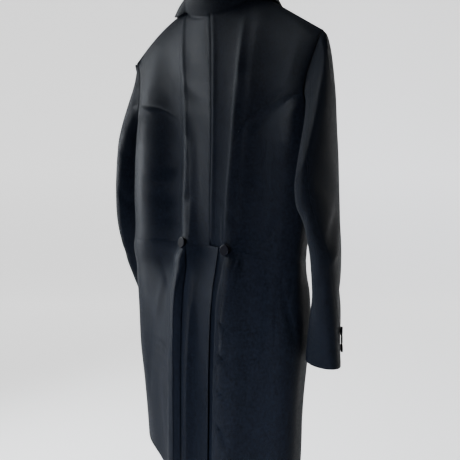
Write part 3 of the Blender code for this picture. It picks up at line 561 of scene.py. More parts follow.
def armhole(side, along):
    """Distance and height on the coat along the armhole: 0 at the shoulder, 1 at the underarm behind the
    arm, and back up before it to 2 at the shoulder."""
    if along <= 1.0:
        across = read(ARMHOLE, ARMHOLE_COLUMNS, "behind", along)
        return across, read(ARMHOLE, ARMHOLE_COLUMNS, "height", along)
    back = 2.0 - along
    height = read(ARMHOLE, ARMHOLE_COLUMNS, "height", back)
    inset = read(ARMHOLE, ARMHOLE_COLUMNS, "before", back)
    return from_front(inset, height), height


print("Underarm, from the centre back and down:", armhole(LEFT, 1.0))

# %% [markdown]
# ## A cloth piece
# Each cut piece is one grid, mapped to the coat and given a wall's thickness. A grid from Blender's own
# operator keeps clean rows for creases and for the weave's coordinates. Near a sewn edge the cloth dips,
# as the stitches pull it in, and that soft groove is what makes a seam show on black wool. Pressed seams
# dip less, and free edges only round off.

# %% Grid helpers
def finer(values, count):
    """The values with each step divided in equal parts."""
    made = []
    for a, b in zip(values, values[1:]):
        made += [mix(a, b, k / count) for k in range(count)]
    return made + [values[-1]]


def lengths_along(line):
    """Running length along a line of points."""
    made = [0.0]
    for a, b in zip(line, line[1:]):
        made.append(made[-1] + (b - a).length)
    return made


print("A step in four parts:", finer((0.0, 1.0), 4))

# %% Cloth piece builder
# Depths at a sewn seam, at a pressed seam and at a free edge, and the width over which they fade.
SEAM_DIP = 0.0008
PRESSED_DIP = 0.0003
EDGE_ROLL = 0.0004
SEAM_SOFT = 0.0025
SHARP_ANGLE = 50.0


def cloth_piece(node, rows, dips):
    """A cloth wall from rows of points and directions, in place of a node of the frame. The dips name its
    sewn sides, which are the first and last column and the bottom and top row."""
    name = node + "_cloth"
    columns = len(rows[0])
    across = [lengths_along([cell[0] for cell in row]) for row in rows]
    upwards = [lengths_along([row[j][0] for row in rows]) for j in range(columns)]
    bm = bmesh.new()
    bmesh.ops.create_grid(bm, x_segments=columns - 1, y_segments=len(rows) - 1, size=1.0)
    row_of = bm.verts.layers.int.new("row")
    column_of = bm.verts.layers.int.new("column")
    uv = bm.loops.layers.uv.new("cloth")
    for vert in bm.verts:
        vert[column_of] = round((vert.co.x + 1) / 2 * (columns - 1))
        vert[row_of] = round((vert.co.y + 1) / 2 * (len(rows) - 1))
    for face in bm.faces:
        for loop in face.loops:
            i, j = loop.vert[row_of], loop.vert[column_of]
            loop[uv].uv = (across[i][j], upwards[j][i])
    extruded = bmesh.ops.extrude_face_region(bm, geom=bm.faces[:])["geom"]
    inner = {item for item in extruded if isinstance(item, bmesh.types.BMVert)}
    for vert in bm.verts:
        i, j = vert[row_of], vert[column_of]
        point, direction = rows[i][j]
        near = {
            "first": across[i][j],
            "last": across[i][-1] - across[i][j],
            "bottom": upwards[j][i],
            "top": upwards[j][-1] - upwards[j][i],
        }
        dip = max(
            math.exp(-((away / SEAM_SOFT) ** 2)) * dips.get(edge, EDGE_ROLL) for edge, away in near.items()
        )
        depth = CLOTH if vert in inner else dip
        vert.co = point - direction * depth
    bmesh.ops.recalc_face_normals(bm, faces=bm.faces)
    mesh = bpy.data.meshes.new(name)
    bm.to_mesh(mesh)
    bm.free()
    mesh.shade_smooth()
    mesh.set_sharp_from_angle(angle=math.radians(SHARP_ANGLE))
    piece = bpy.data.objects.new(name, mesh)
    bpy.context.scene.collection.objects.link(piece)
    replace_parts(piece, node)
    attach(piece, "root")
    outer = sum(
        (rows[i + 1][j][0] - rows[i][j][0]).cross(rows[i][j + 1][0] - rows[i][j][0]).length
        for i in range(len(rows) - 1)
        for j in range(columns - 1)
    )
    width = max(line[-1] for line in across)
    length = max(line[-1] for line in upwards)
    min(outer, width * length)
    print(f"{name}: {width:.3f} by {length:.3f} m, {outer:.4f} m2, {len(mesh.polygons)} faces")
    return piece


cloth_pieces = []
print("Cloth", CLOTH, "m thick, with seams", SEAM, "m wide")

# %% [markdown]
# ## Backs, cut in one with the tails
# The two backs meet at the centre seam. Below the waist they run on as narrow tails, and the left tail
# laps over the right one as a vent. One grid from hem to shoulder keeps each back whole, as it is cut.

# %% Seam rows
# Heights of the back's rows, which the side body shares up to the armhole. Each step is divided in fine
# parts. The underarm rows are shared by the side body and the forepart.
BACK_HEIGHTS = (
    -0.438, -0.410, -0.380, -0.350, -0.318, -0.288, -0.258, -0.235, -0.218, -0.204, -0.190, -0.175,
    -0.160, -0.140, -0.118, -0.090, -0.055, -0.025, -0.008, 0.0,
)
FINE = 4
SEAM_ROWS = 14
UNDERARM_ROWS = 8
HALVINGS = 30

# The seam between the back and the side body: its distance from the centre back at each height.
SIDE_SEAM_COLUMNS = ("height", "across")
SIDE_SEAM = (
    (-0.460, 0.0490),
    (-0.400, 0.0490),
    (-0.350, 0.0495),
    (-0.312, 0.0510),
    (-0.270, 0.0545),
    (-0.245, 0.0590),
    (-0.225, 0.0665),
    (-0.208, 0.0800),
    (-0.192, 0.0990),
    (-0.177, 0.1200),
    (-0.164, 0.1410),
    (-0.150, 0.1640),
    (-0.140, 0.1792),
)


def side_seam(height):
    """The side seam's distance from the centre back at a height."""
    return read(SIDE_SEAM, SIDE_SEAM_COLUMNS, "across", height)


def side_seam_gap(height):
    """Half the width of the side seam along a level line, which grows where the seam runs nearly level."""
    slope = (side_seam(height + STEP) - side_seam(height - STEP)) / (2 * STEP)
    return SEAM / 2 * math.hypot(1.0, slope)


def armhole_behind(height):
    """The armhole's distance from the centre back at a height, behind the arm."""
    low, high = 0.0, 0.9
    for _ in range(HALVINGS):
        middle = (low + high) / 2
        if armhole(LEFT, middle)[1] > height:
            low = middle
        else:
            high = middle
    return armhole(LEFT, low)[0]


def back_outer_edge(height):
    """The back's outer edge: the side seam, and the armhole above it."""
    if height < BACK_HEIGHTS[SEAM_ROWS - 1] + 1e-6:
        return side_seam(height) - side_seam_gap(height)
    return armhole_behind(height) - SEAM / 2


print("Rows up the back:", len(finer(BACK_HEIGHTS, FINE)))

# %% Tail lines
# The rear edge of the skirt, which lies over the tail, as a distance from the centre back.
PLEAT_COLUMNS = ("height", "across")
PLEAT = (
    (-1.00, 0.0400),
    (-0.80, 0.0405),
    (-0.60, 0.0430),
    (-0.50, 0.0470),
    (-0.44, 0.0490),
)

# The hem, which rises to the cutaway front: its height at each distance from the centre back.
HEM_COLUMNS = ("across", "height")
HEM = (
    (-0.03, -0.958),
    (0.00, -0.957),
    (0.05, -0.935),
    (0.10, -0.903),
    (0.13, -0.888),
    (0.16, -0.880),
    (0.20, -0.872),
    (0.25, -0.842),
    (0.30, -0.782),
    (0.35, -0.705),
    (0.40, -0.622),
    (0.44, -0.556),
    (0.48, -0.500),
    (0.52, -0.470),
)

# The length below the waist seam over which the roll grows.
ROLL_GROWTH = 0.034


def pleat_edge(height):
    """The pleat edge's distance from the centre back at a height."""
    return read(PLEAT, PLEAT_COLUMNS, "across", height)


def hem_height(across):
    """The hem's height at a distance from the centre back."""
    return read(HEM, HEM_COLUMNS, "height", across)


print("Hem at the centre back:", hem_height(0.0))

# %% Backs
# The vent's overlap on the left tail and underlap on the right one, how far the right tail lies behind, and
# how far the tails reach under the skirts.
VENT_OVERLAP = 0.023
VENT_UNDERLAP = 0.018
VENT_STEP = 0.0036
PLEAT_UNDERLAP = 0.015

# The vent starts just below the waist. Its underlap widens and its step closes over short lengths there.
# The tail ends level, at the hem's height at one place.
VENT_TOP = WAIST - 0.002
VENT_WIDENING = 0.020
VENT_CLOSING = 0.014
TAIL_HEM_AT = 0.020
TAIL_STEPS = (0.0, 0.03, 0.065, 0.11, 0.18, 0.28, 0.39, 0.50, 0.62, 0.75, 0.88, 1.0)
BACK_COLUMNS = 81


def make_back(side):
    """The back half, cut in one with its tail. The left tail laps over the right one below the waist."""
    over = side == LEFT
    rows = []

    def row(inner, outer, height, lift):
        return [coat(side, mix(inner, outer, u), height, lift) for u in spread(BACK_COLUMNS)]

    for step in reversed(finer(TAIL_STEPS, 2 * FINE)[1:]):
        height = mix(VENT_TOP, hem_height(TAIL_HEM_AT), step)
        below = WAIST - height
        if over:
            inner = -VENT_OVERLAP
        else:
            inner = -VENT_UNDERLAP * blend((VENT_TOP - height) / VENT_WIDENING) + SEAM
        outer = pleat_edge(height) - SEAM + PLEAT_UNDERLAP * blend((below - ROLL_GROWTH) / ROLL_GROWTH)
        rows.append(row(inner, outer, height, 0.0 if over else -VENT_STEP))
    if over:
        rows.append(row(-VENT_OVERLAP, pleat_edge(WAIST) - SEAM, VENT_TOP, 0.0))
    for height in finer(BACK_HEIGHTS, FINE)[:-1]:
        lift = 0.0 if over else -VENT_STEP * blend((WAIST + VENT_CLOSING - height) / VENT_CLOSING)
        rows.append(row(SEAM / 2, back_outer_edge(height), height, lift))
    rows.append([ridge(side, mix(SEAM / 2, back_outer_edge(0.0), u), 1) for u in spread(BACK_COLUMNS)])
    dips = {"first": SEAM_DIP, "last": PRESSED_DIP, "top": PRESSED_DIP}
    return cloth_piece(f"back_{SIDE_NAME[side]}", rows, dips)


for side in (LEFT, RIGHT):
    cloth_pieces.append(make_back(side))

# %% [markdown]
# ## Side bodies
# The side body is the curved panel under the arm, between the back's curved seam and the underarm seam.
# It narrows to a point at the armhole, so its rows run between two different edges.

# %% Side bodies
# The underarm seam, as a distance from the centre back at each height.
UNDERARM_SEAM_COLUMNS = ("height", "across")
UNDERARM_SEAM = (
    (-0.470, 0.186),
    (-0.440, 0.189),
    (-0.380, 0.204),
    (-0.310, 0.227),
    (-0.262, 0.245),
)

# The underarm seam's distance from the centre back at the waist, the place of the side seam's upper end
# along the armhole and how far past it the side body reaches.
UNDERARM_AT_WAIST = 0.189
SIDE_SEAM_TOP = 0.553
SIDE_BODY_PAST = 0.012
SIDE_BODY_COLUMNS = 43


def underarm_point(side, v):
    """Height and distance along the underarm seam, from the waist up."""
    bottom = waist_height(side, UNDERARM_AT_WAIST) + SEAM / 2
    height = mix(bottom, ARMHOLE[-1][3], v)
    return height, read(UNDERARM_SEAM, UNDERARM_SEAM_COLUMNS, "across", height)


def make_side_body(side):
    """The curved panel between the back and the underarm."""
    left_heights = finer(BACK_HEIGHTS[:SEAM_ROWS], FINE)
    right = [("seam", v) for v in finer(spread(UNDERARM_ROWS), FINE)]
    armhole_steps = spread(SEAM_ROWS - UNDERARM_ROWS + 1, 1.0, SIDE_SEAM_TOP + SIDE_BODY_PAST)
    right += [("armhole", along) for along in finer(armhole_steps, FINE)[1:]]
    rows = []
    for index, (height, (kind, value)) in enumerate(zip(left_heights, right)):
        left_across = side_seam(height) + side_seam_gap(height)
        left_height = max(height, waist_height(side, left_across) + SEAM / 2)
        if kind == "seam":
            far_height, far = underarm_point(side, value)
            far -= SEAM / 2
        else:
            far, far_height = armhole(side, value)
        line = []
        for u in spread(SIDE_BODY_COLUMNS):
            across = mix(left_across, far, u)
            here = mix(left_height, far_height, u)
            if index == 0:
                here = waist_height(side, across) + SEAM / 2
            line.append(coat(side, across, here))
        rows.append(line)
    dips = {"first": PRESSED_DIP, "last": PRESSED_DIP, "bottom": SEAM_DIP}
    return cloth_piece(f"side_body_{SIDE_NAME[side]}", rows, dips)


for side in (LEFT, RIGHT):
    cloth_pieces.append(make_side_body(side))

# %% [markdown]
# ## Foreparts
# Each forepart runs from the underarm seam to the front edge, where the lapel rolls over. The left one
# laps over the right one at the waist, and the front button holds them there.

# %% Foreparts
# The front edge, which is also the roll line of the lapel: its distance from the centre front.
FRONT_EDGE_COLUMNS = ("height", "inset")
FRONT_EDGE = (
    (-0.46, -0.018),
    (-0.41, -0.018),
    (-0.36, -0.004),
    (-0.30, 0.012),
    (-0.20, 0.036),
    (-0.10, 0.052),
    (0.00, 0.060),
)

# How far the fronts lap at the button, how far the left front lies over the right one, where it starts to
# rise before the centre front and over which length. The front edge starts a little below the waist.
FRONT_OVERLAP = 0.018
LAY = 0.0030
LAY_START = 0.045
LAY_WIDTH = 0.022
EDGE_FOOT = WAIST - 0.014
ARMHOLE_STEPS = (1.0, 1.05, 1.12, 1.22, 1.34, 1.46, 1.58, 1.70, 1.82, 1.92, 2.0)
FRONT_COLUMNS = 61


def front_lift(side):
    """The left front laps over the right one near the centre front."""
    def lift(across, height):
        if side == RIGHT:
            return 0.0
        inset = girth(height) - across
        return LAY * blend((LAY_START - inset) / LAY_WIDTH)
    return lift


def make_forepart(side):
    """The front half above the waist, with the armhole's front and the edge where the lapel rolls."""
    lift = front_lift(side)
    steps = []
    for v in finer(spread(UNDERARM_ROWS), FINE):
        height, across = underarm_point(side, v)
        steps.append((across + SEAM / 2, height))
    steps += [armhole(side, along) for along in finer(ARMHOLE_STEPS, FINE)[1:]]

    waist_row = []
    for u in spread(FRONT_COLUMNS):
        across = mix(steps[0][0], girth(WAIST) + FRONT_OVERLAP, u)
        height = waist_height(side, across) + SEAM / 2
        waist_row.append(coat(side, across, height, lift(across, height)))
    rows = [waist_row]
    last = len(steps) - 1
    for index in range(1, len(steps)):
        start, start_height = steps[index]
        edge_height = mix(EDGE_FOOT, 0.0, index / last)
        edge = from_front(read(FRONT_EDGE, FRONT_EDGE_COLUMNS, "inset", edge_height), edge_height)
        line = []
        for u in spread(FRONT_COLUMNS):
            across = mix(start, edge, u)
            height = mix(start_height, edge_height, u)
            if index == last:
                line.append(ridge(side, across, -1))
            else:
                line.append(coat(side, across, height, lift(across, height)))
        rows.append(line)
    return cloth_piece(f"forepart_{SIDE_NAME[side]}", rows, {"first": PRESSED_DIP, "bottom": SEAM_DIP})


for side in (LEFT, RIGHT):
    cloth_pieces.append(make_forepart(side))

# %% [markdown]
# ## Skirts
# The skirt is sewn on at the waist and cut away in a curve to the front. Its rear edge is a soft roll
# over the tail, which catches the light as a long bright line. A separate tube could make that roll, but
# a table of heights over the tail keeps roll and skirt one cloth.

# %% Skirts
# The soft rolled edge of the skirt over the tail: distance from the edge and height over the tail.
ROLL_COLUMNS = ("inset", "left", "right")
ROLL = (
    (0.000, 0.0040, 0.0050),
    (0.003, 0.0085, 0.0085),
    (0.007, 0.0125, 0.0108),
    (0.013, 0.0155, 0.0115),
    (0.022, 0.0140, 0.0100),
    (0.038, 0.0060, 0.0048),
    (0.060, 0.0012, 0.0010),
    (0.100, 0.0000, 0.0000),
)

# The skirt's columns follow the first rows of the roll's table, then run at the waist's pitch under the side
# body, and then evenly to the front. The slant of the rear edge fades out over a short way.
WAIST_PITCH = 0.020
WAIST_STEPS = range(2, 8)
EDGE_ROWS = 5
EDGE_PARTS = 5
EDGE_STRAIGHTENS = 0.15
SKIRT_STEPS = (1.0, 0.9, 0.8, 0.7, 0.6, 0.5, 0.4, 0.3, 0.2, 0.12, 0.055, 0.02, 0.0)


def make_skirt(side):
    """The skirt from its rolled rear edge round to the cutaway front, sewn on at the waist."""
    fronts = front_lift(side)
    edge = finer([row[0] for row in ROLL[:EDGE_ROWS]], FINE)
    far = girth(WAIST) + FRONT_OVERLAP - pleat_edge(WAIST)
    under_side_body = finer([WAIST_PITCH * k for k in WAIST_STEPS], 2 * FINE)
    edge += finer([edge[-1], under_side_body[0]], EDGE_PARTS)[1:-1]
    front = [mix(under_side_body[-1], far, u) for u in spread(FRONT_COLUMNS)[1:]]
    rows = []
    for v in finer(SKIRT_STEPS, 2 * FINE):
        line = []
        for inset in edge + under_side_body + front:
            across = pleat_edge(WAIST) + SEAM / 2 + inset
            top = waist_height(side, across) - SEAM / 2
            height = mix(top, hem_height(across), v)
            across -= (pleat_edge(WAIST) - pleat_edge(height)) * (1 - blend(inset / EDGE_STRAIGHTENS))
            growth = blend((top - height) / ROLL_GROWTH)
            lift = read(ROLL, ROLL_COLUMNS, SIDE_NAME[side], inset) * growth
            line.append(coat(side, across, height, lift + fronts(across, height)))
        rows.append(line)
    return cloth_piece(f"skirt_{SIDE_NAME[side]}", rows, {"top": SEAM_DIP})


for side in (LEFT, RIGHT):
    cloth_pieces.append(make_skirt(side))

# %% [markdown]
# ## Sleeves
# A tailored sleeve has two pieces, a top sleeve and an under sleeve, joined at the hindarm and the
# forearm seams. Both come from one tube of sections, so their seams match. The hanging sleeves are
# flattened and pushed in at the elbow.

# %% Sleeve tables
# How far outwards and inwards each sleeve starts, so that it just clears the armhole's edge.
SLEEVE_OFFSET = {LEFT: 0.0024, RIGHT: 0.0018}
SLEEVE_SET = 0.0006

# Level sections of each sleeve: centre, half length and half thickness of the flattened tube, the turn of
# its rear edge outwards and the place of the hindarm seam round it, both in degrees.
SLEEVE_COLUMNS = ("height", "out", "back", "long", "thick", "turn", "seam")
SLEEVES = {
    RIGHT: (
        (-0.623, 0.2350, -0.0400, 0.0600, 0.0265, 50.0, 64.0),
        (-0.580, 0.2355, -0.0405, 0.0605, 0.0260, 44.0, 52.0),
        (-0.540, 0.2370, -0.0410, 0.0625, 0.0258, 38.0, 42.0),
        (-0.500, 0.2380, -0.0415, 0.0645, 0.0242, 33.0, 34.0),
        (-0.427, 0.2395, -0.0330, 0.0690, 0.0260, 28.0, 26.0),
        (-0.364, 0.2340, -0.0265, 0.0745, 0.0270, 20.0, 20.0),
        (-0.331, 0.2305, -0.0230, 0.0765, 0.0280, 17.0, 17.0),
        (-0.255, 0.2265, -0.0200, 0.0755, 0.0280, 17.0, 12.0),
    ),
    LEFT: (
        (-0.623, 0.2520, -0.1070, 0.0620, 0.0250, 22.0, 64.0),
        (-0.580, 0.2530, -0.0930, 0.0630, 0.0250, 20.0, 50.0),
        (-0.554, 0.2540, -0.0850, 0.0650, 0.0250, 18.0, 40.0),
        (-0.487, 0.2545, -0.0630, 0.0680, 0.0260, 16.0, 30.0),
        (-0.412, 0.2535, -0.0500, 0.0720, 0.0280, 15.0, 24.0),
        (-0.337, 0.2520, -0.0510, 0.0750, 0.0290, 15.0, 18.0),
        (-0.255, 0.2500, -0.0570, 0.0750, 0.0290, 15.0, 12.0),
    ),
}

# The first section below the armhole and its tilt, the cuff's tilt and the elbow, where both tilts end.
SLEEVE_TOP = {LEFT: -0.255, RIGHT: -0.285}
SLEEVE_TOP_TILT = 0.038
CUFF_TILT = 0.020
ELBOW = -0.380

# The arm's outside and the forearm seam, as degrees round the sleeve from its rear edge.
OUTSIDE = 90.0
FORE_SEAM = 196.0

# How the sleeve leaves the armhole, round the arm: how far it springs out, how far it drops and at which
# place of the left and the right armhole it starts.
CAP_COLUMNS = ("around", "spring", "drop", "left", "right")
CAP = (
    (90.0, 0.018, 0.190, 2.00, 2.00),
    (112.0, 0.034, 0.160, 1.88, 1.81),
    (135.0, 0.042, 0.130, 1.75, 1.60),
    (180.0, 0.045, 0.070, 1.50, 1.10),
    (205.0, 0.026, 0.040, 1.37, 1.02),
    (230.0, 0.018, 0.030, 1.22, 0.88),
    (270.0, 0.006, 0.020, 1.00, 0.74),
    (320.0, 0.030, 0.045, 0.72, 0.57),
    (360.0, 0.045, 0.090, 0.50, 0.43),
    (405.0, 0.042, 0.130, 0.25, 0.22),
    (428.0, 0.034, 0.160, 0.12, 0.11),
    (450.0, 0.018, 0.190, 0.00, 0.00),
)

print("Sleeve sections:", {SIDE_NAME[s]: len(SLEEVES[s]) for s in SLEEVES})

# %% Sleeve creases
# Each row holds the side, the angle and the share of the way down where the crease starts and where it
# ends, its half width in degrees and its height.
SLEEVE_CREASES = (
    (LEFT, 60.0, 0.30, 110.0, 0.24, 9.0, -0.0022),
    (LEFT, 20.0, 0.16, 100.0, 0.10, 10.0, -0.0018),
    (LEFT, 300.0, 0.34, 350.0, 0.22, 9.0, -0.0022),
    (LEFT, 250.0, 0.12, 330.0, 0.20, 9.0, -0.0020),
    (LEFT, 30.0, 0.58, 80.0, 0.50, 8.0, 0.0016),
    (LEFT, 330.0, 0.70, 380.0, 0.62, 8.0, -0.0014),
    (RIGHT, 40.0, 0.34, 95.0, 0.22, 9.0, -0.0028),
    (RIGHT, 30.0, 0.10, 85.0, 0.16, 9.0, -0.0020),
    (RIGHT, 10.0, 0.46, 70.0, 0.38, 8.0, 0.0022),
    (RIGHT, 60.0, 0.66, 120.0, 0.56, 9.0, -0.0018),
    (RIGHT, 300.0, 0.30, 350.0, 0.20, 9.0, -0.0022),
    (RIGHT, 320.0, 0.60, 370.0, 0.52, 8.0, -0.0016),
)

# The way down a sleeve counted in degrees, so that a crease's width suits both ways, and the sizes of the
# sleeve's slight unevenness round the arm and down it.
DEGREES_DOWN = 240.0
SLEEVE_UNEVEN_AROUND = 1.3
SLEEVE_UNEVEN_DOWN = 4.0


def sleeve_crease(side, angle, along):
    """Creases of a sleeve, with the way down it scaled to its angles so that a row's width suits both."""
    total = 0.0
    for row_side, start, start_down, end, end_down, width, depth in SLEEVE_CREASES:
        if row_side == side:
            line = (side, start, start_down * DEGREES_DOWN, end, end_down * DEGREES_DOWN, width, depth)
            for turn in (-360.0, 0.0, 360.0):
                total += along_segment(angle + turn, along * DEGREES_DOWN, line)
    a = math.radians(angle)
    seed = Vector((
        math.cos(a) * SLEEVE_UNEVEN_AROUND,
        math.sin(a) * SLEEVE_UNEVEN_AROUND,
        along * SLEEVE_UNEVEN_DOWN + side,
    ))
    return total * CREASE_GAIN + UNEVEN * noise.noise(seed)


print("Creases on the sleeves:", len(SLEEVE_CREASES))

# %% Sleeve surface
# How far upwards the sleeve head springs, the factor of its spring, and the step over which the slope of
# the sleeve below it is measured.
SPRING_RISE = 0.12
SPRING_FACTOR = 1.6
SLEEVE_STEP = 0.010


def sleeve_ring(side, height, angle):
    """A point of the sleeve's outer surface below the armhole, at an angle round it from its rear edge."""
    row = {name: read(SLEEVES[side], SLEEVE_COLUMNS, name, height) for name in SLEEVE_COLUMNS[1:]}
    turn = math.radians(row["turn"])
    rear = Vector((side * math.sin(turn), math.cos(turn), 0.0))
    outside = Vector((side * math.cos(turn), -math.sin(turn), 0.0))
    a = math.radians(angle)
    tilt = SLEEVE_TOP_TILT * blend((height - ELBOW) / (SLEEVE_TOP[side] - ELBOW)) * math.sin(a)
    tilt += CUFF_TILT / 2 * blend((ELBOW - height) / (ELBOW - SLEEVES[side][0][0])) * math.cos(a)
    centre = Vector((side * row["out"], row["back"], height + tilt))
    return centre + rear * row["long"] * math.cos(a) + outside * row["thick"] * math.sin(a)


def sleeve_point(side, along, angle):
    """A point of the whole sleeve: from the armhole at -1 over the sleeve head to the first ring at 0, and
    on to the cuff at 1."""
    if along >= 0:
        return sleeve_ring(side, mix(SLEEVE_TOP[side], SLEEVES[side][0][0], along), angle)
    t = along + 1
    end = sleeve_ring(side, SLEEVE_TOP[side], angle)
    below = sleeve_ring(side, SLEEVE_TOP[side] - SLEEVE_STEP, angle)
    round_arm = (angle - 90.0) % 360.0 + 90.0
    start, direction = coat(side, *armhole(side, read(CAP, CAP_COLUMNS, SIDE_NAME[side], round_arm)))
    spring = read(CAP, CAP_COLUMNS, "spring", round_arm)
    drop = read(CAP, CAP_COLUMNS, "drop", round_arm)
    start = start + Vector((side * SLEEVE_OFFSET[side], 0.0, 0.0)) - direction * SLEEVE_SET
    out = Vector((side, 0.0, SPRING_RISE)).normalized() * spring * SPRING_FACTOR
    down = (below - end).normalized() * drop
    return cubic(start, out, end, down, t)


print("Left cuff's rear edge:", [round(v, 4) for v in sleeve_point(LEFT, 1.0, 0.0)])

# %% Sleeve grid
# Half a seam's width in degrees, how far the hindarm seam turns up to the armhole, the steps down the sleeve
# and the columns of the top sleeve, behind and before its outside, and of the under sleeve.
SEAM_ANGLE = 0.25
HINDARM_TURN = 20.0
SLEEVE_STEPS = (
    -1.0, -0.90, -0.78, -0.64, -0.48, -0.32, -0.15, 0.0, 0.10, 0.20, 0.30, 0.40, 0.50, 0.60, 0.70, 0.78, 0.86,
    0.93, 1.0,
)
OVER_COLUMNS = (21, 31)
UNDER_COLUMNS = 45


def hindarm_seam(side, along):
    """The angle of the hindarm seam round the sleeve."""
    height = mix(SLEEVE_TOP[side], SLEEVES[side][0][0], max(along, 0.0))
    return read(SLEEVES[side], SLEEVE_COLUMNS, "seam", height) + min(along, 0.0) * HINDARM_TURN


def sleeve_grid(side):
    """Rows of the whole sleeve from the cuff up, the top sleeve's columns first, each point with the
    direction in which it faces."""
    steps = finer(SLEEVE_STEPS, FINE)[::-1]
    points = []
    angle_rows = []
    for along in steps:
        hind = hindarm_seam(side, along)
        angles = spread(OVER_COLUMNS[0], hind + SEAM_ANGLE, OUTSIDE)
        angles += spread(OVER_COLUMNS[1], OUTSIDE, FORE_SEAM - SEAM_ANGLE)[1:]
        angles += spread(UNDER_COLUMNS, FORE_SEAM + SEAM_ANGLE, hind + 360.0 - SEAM_ANGLE)
        angle_rows.append(angles)
        points.append([sleeve_point(side, along, angle) for angle in angles])
    count = len(points[0])
    rows = []
    for i, ring in enumerate(points):
        above, below = points[min(i + 1, len(points) - 1)], points[max(i - 1, 0)]
        facing_out = []
        for j in range(count):
            turn = (ring[(j + 1) % count] - ring[j]).normalized() + (ring[j] - ring[j - 1]).normalized()
            facing_out.append((turn.cross(below[j] - above[j]) * side).normalized())
        for seam in (0, sum(OVER_COLUMNS) - 1):
            turn = (ring[seam + 1] - ring[seam]).normalized() + (ring[seam - 1] - ring[seam - 2]).normalized()
            run = below[seam] - above[seam]
            facing_out[seam] = facing_out[seam - 1] = (turn.cross(run) * side).normalized()
        raised = [sleeve_crease(side, angle, steps[i]) for angle in angle_rows[i]]
        rows.append([(p + d * r, d) for p, d, r in zip(ring, facing_out, raised)])
    return rows


print("Sleeve columns:", sum(OVER_COLUMNS) - 1 + UNDER_COLUMNS)

# %% Sleeves
def make_sleeve(side):
    """Both sleeve pieces: the top sleeve round the outside and the under sleeve inside."""
    rows = sleeve_grid(side)
    split = sum(OVER_COLUMNS) - 1
    dips = {"first": PRESSED_DIP, "last": PRESSED_DIP, "top": SEAM_DIP}
    return (
        cloth_piece(f"top_sleeve_{SIDE_NAME[side]}", [row[:split] for row in rows], dips),
        cloth_piece(f"under_sleeve_{SIDE_NAME[side]}", [row[split:] for row in rows], dips),
    )


for side in (LEFT, RIGHT):
    cloth_pieces += make_sleeve(side)

# %% [markdown]
# ## Lapels and collar
# The peaked lapels turn back on the foreparts, and the collar stands round the neck and falls over its
# own stand. The lapel rides just over the forepart's surface, and the collar is one band swept from gorge
# to gorge.

# %% Lapels
# The lapel's outer edge, from the button up to its peak.
LAPEL_COLUMNS = ("along", "inset", "height")
LAPEL = (
    (0.00, -0.006, -0.395),
    (0.15, 0.034, -0.350),
    (0.40, 0.074, -0.275),
    (0.70, 0.108, -0.185),
    (1.00, 0.136, -0.092),
)

# How far the lapel's face lies over the forepart's and swells between its edges, its upper end, the right
# lapel's clearance from the left front and where each lapel starts.
LAPEL_LAY = 0.0029
LAPEL_SWELL = 0.0012
LAPEL_TOP = -0.052
FRONT_CLEAR = 0.005
LAPEL_START = {LEFT: 0.0, RIGHT: 0.09}
LAPEL_ROWS = 45
LAPEL_STRIPS = 25


def make_lapel(side):
    """The lapel, turned back on the forepart from the roll line out to its peak."""
    rows = []
    lift = front_lift(side)
    for v in spread(LAPEL_ROWS, LAPEL_START[side], 1.0):
        inner_height = mix(LAPEL[0][2], LAPEL_TOP, v)
        inner = read(FRONT_EDGE, FRONT_EDGE_COLUMNS, "inset", inner_height)
        if side == RIGHT:
            inner = max(inner, FRONT_CLEAR - inner)
        outer = read(LAPEL, LAPEL_COLUMNS, "inset", v)
        outer_height = read(LAPEL, LAPEL_COLUMNS, "height", v)
        line = []
        for u in spread(LAPEL_STRIPS):
            height = mix(inner_height, outer_height, u)
            across = from_front(mix(inner, outer, u), height)
            swell = LAPEL_SWELL * math.sin(math.pi * u)
            line.append(coat(side, across, height, lift(across, height) + LAPEL_LAY + swell))
        rows.append(line)
    return cloth_piece(f"lapel_{SIDE_NAME[side]}", rows, {})


for side in (LEFT, RIGHT):
    cloth_pieces.append(make_lapel(side))

# %% Collar section
# The collar from the centre back to its front end: the place of its sewn edge and of its falling edge on
# the coat, both as distances and heights, the height of its stand and the gap between stand and fall.
COLLAR_COLUMNS = ("along", "seam_across", "seam_height", "fall_across", "fall_height", "stand", "gap")
COLLAR_BACK = (
    (0.00, 0.0000, 0.0, 0.0000, -0.0105, 0.028, 0.0110),
    (0.30, 0.0260, 0.0, 0.0330, -0.0110, 0.028, 0.0110),
    (0.60, 0.0500, 0.0, 0.0680, -0.0120, 0.027, 0.0110),
    (0.85, 0.0630, 0.0, 0.0900, -0.0080, 0.025, 0.0105),
    (1.00, 0.0667, 0.0, 0.0980, 0.0000, 0.023, 0.0100),
)
COLLAR_FRONT = (
    (1.00, 0.0600, 0.0000, 0.0860, 0.0000, 0.023, 0.0100),
    (1.30, 0.0590, -0.0150, 0.0930, -0.0200, 0.019, 0.0095),
    (1.65, 0.0575, -0.0320, 0.1000, -0.0430, 0.014, 0.0090),
    (2.00, 0.0555, -0.0500, 0.1060, -0.0640, 0.009, 0.0085),
)

# How far the neck's middle lies forward, and the share by which the collar's front end faces back. Then how
# far its falling edge lies over the coat, its foot, its fold and its swell lie off their lines.
NECK_MIDDLE = 0.045
FRONT_TURN = 0.4
COLLAR_LAY = 0.0036
COLLAR_FOOT = 0.0012
COLLAR_TOP = 0.003
COLLAR_SWELL = 0.002
COLLAR_PUFF = 0.001

# Shares of the stand's height where the band bends, and of the gap where its fold is highest.
INSIDE_BEND = 0.60
INNER_FOLD = 0.95
OUTER_FOLD = 0.93
FOLD_MIDDLE = 0.45

# Fine parts of each bend across the collar.
COLLAR_FINE = 4


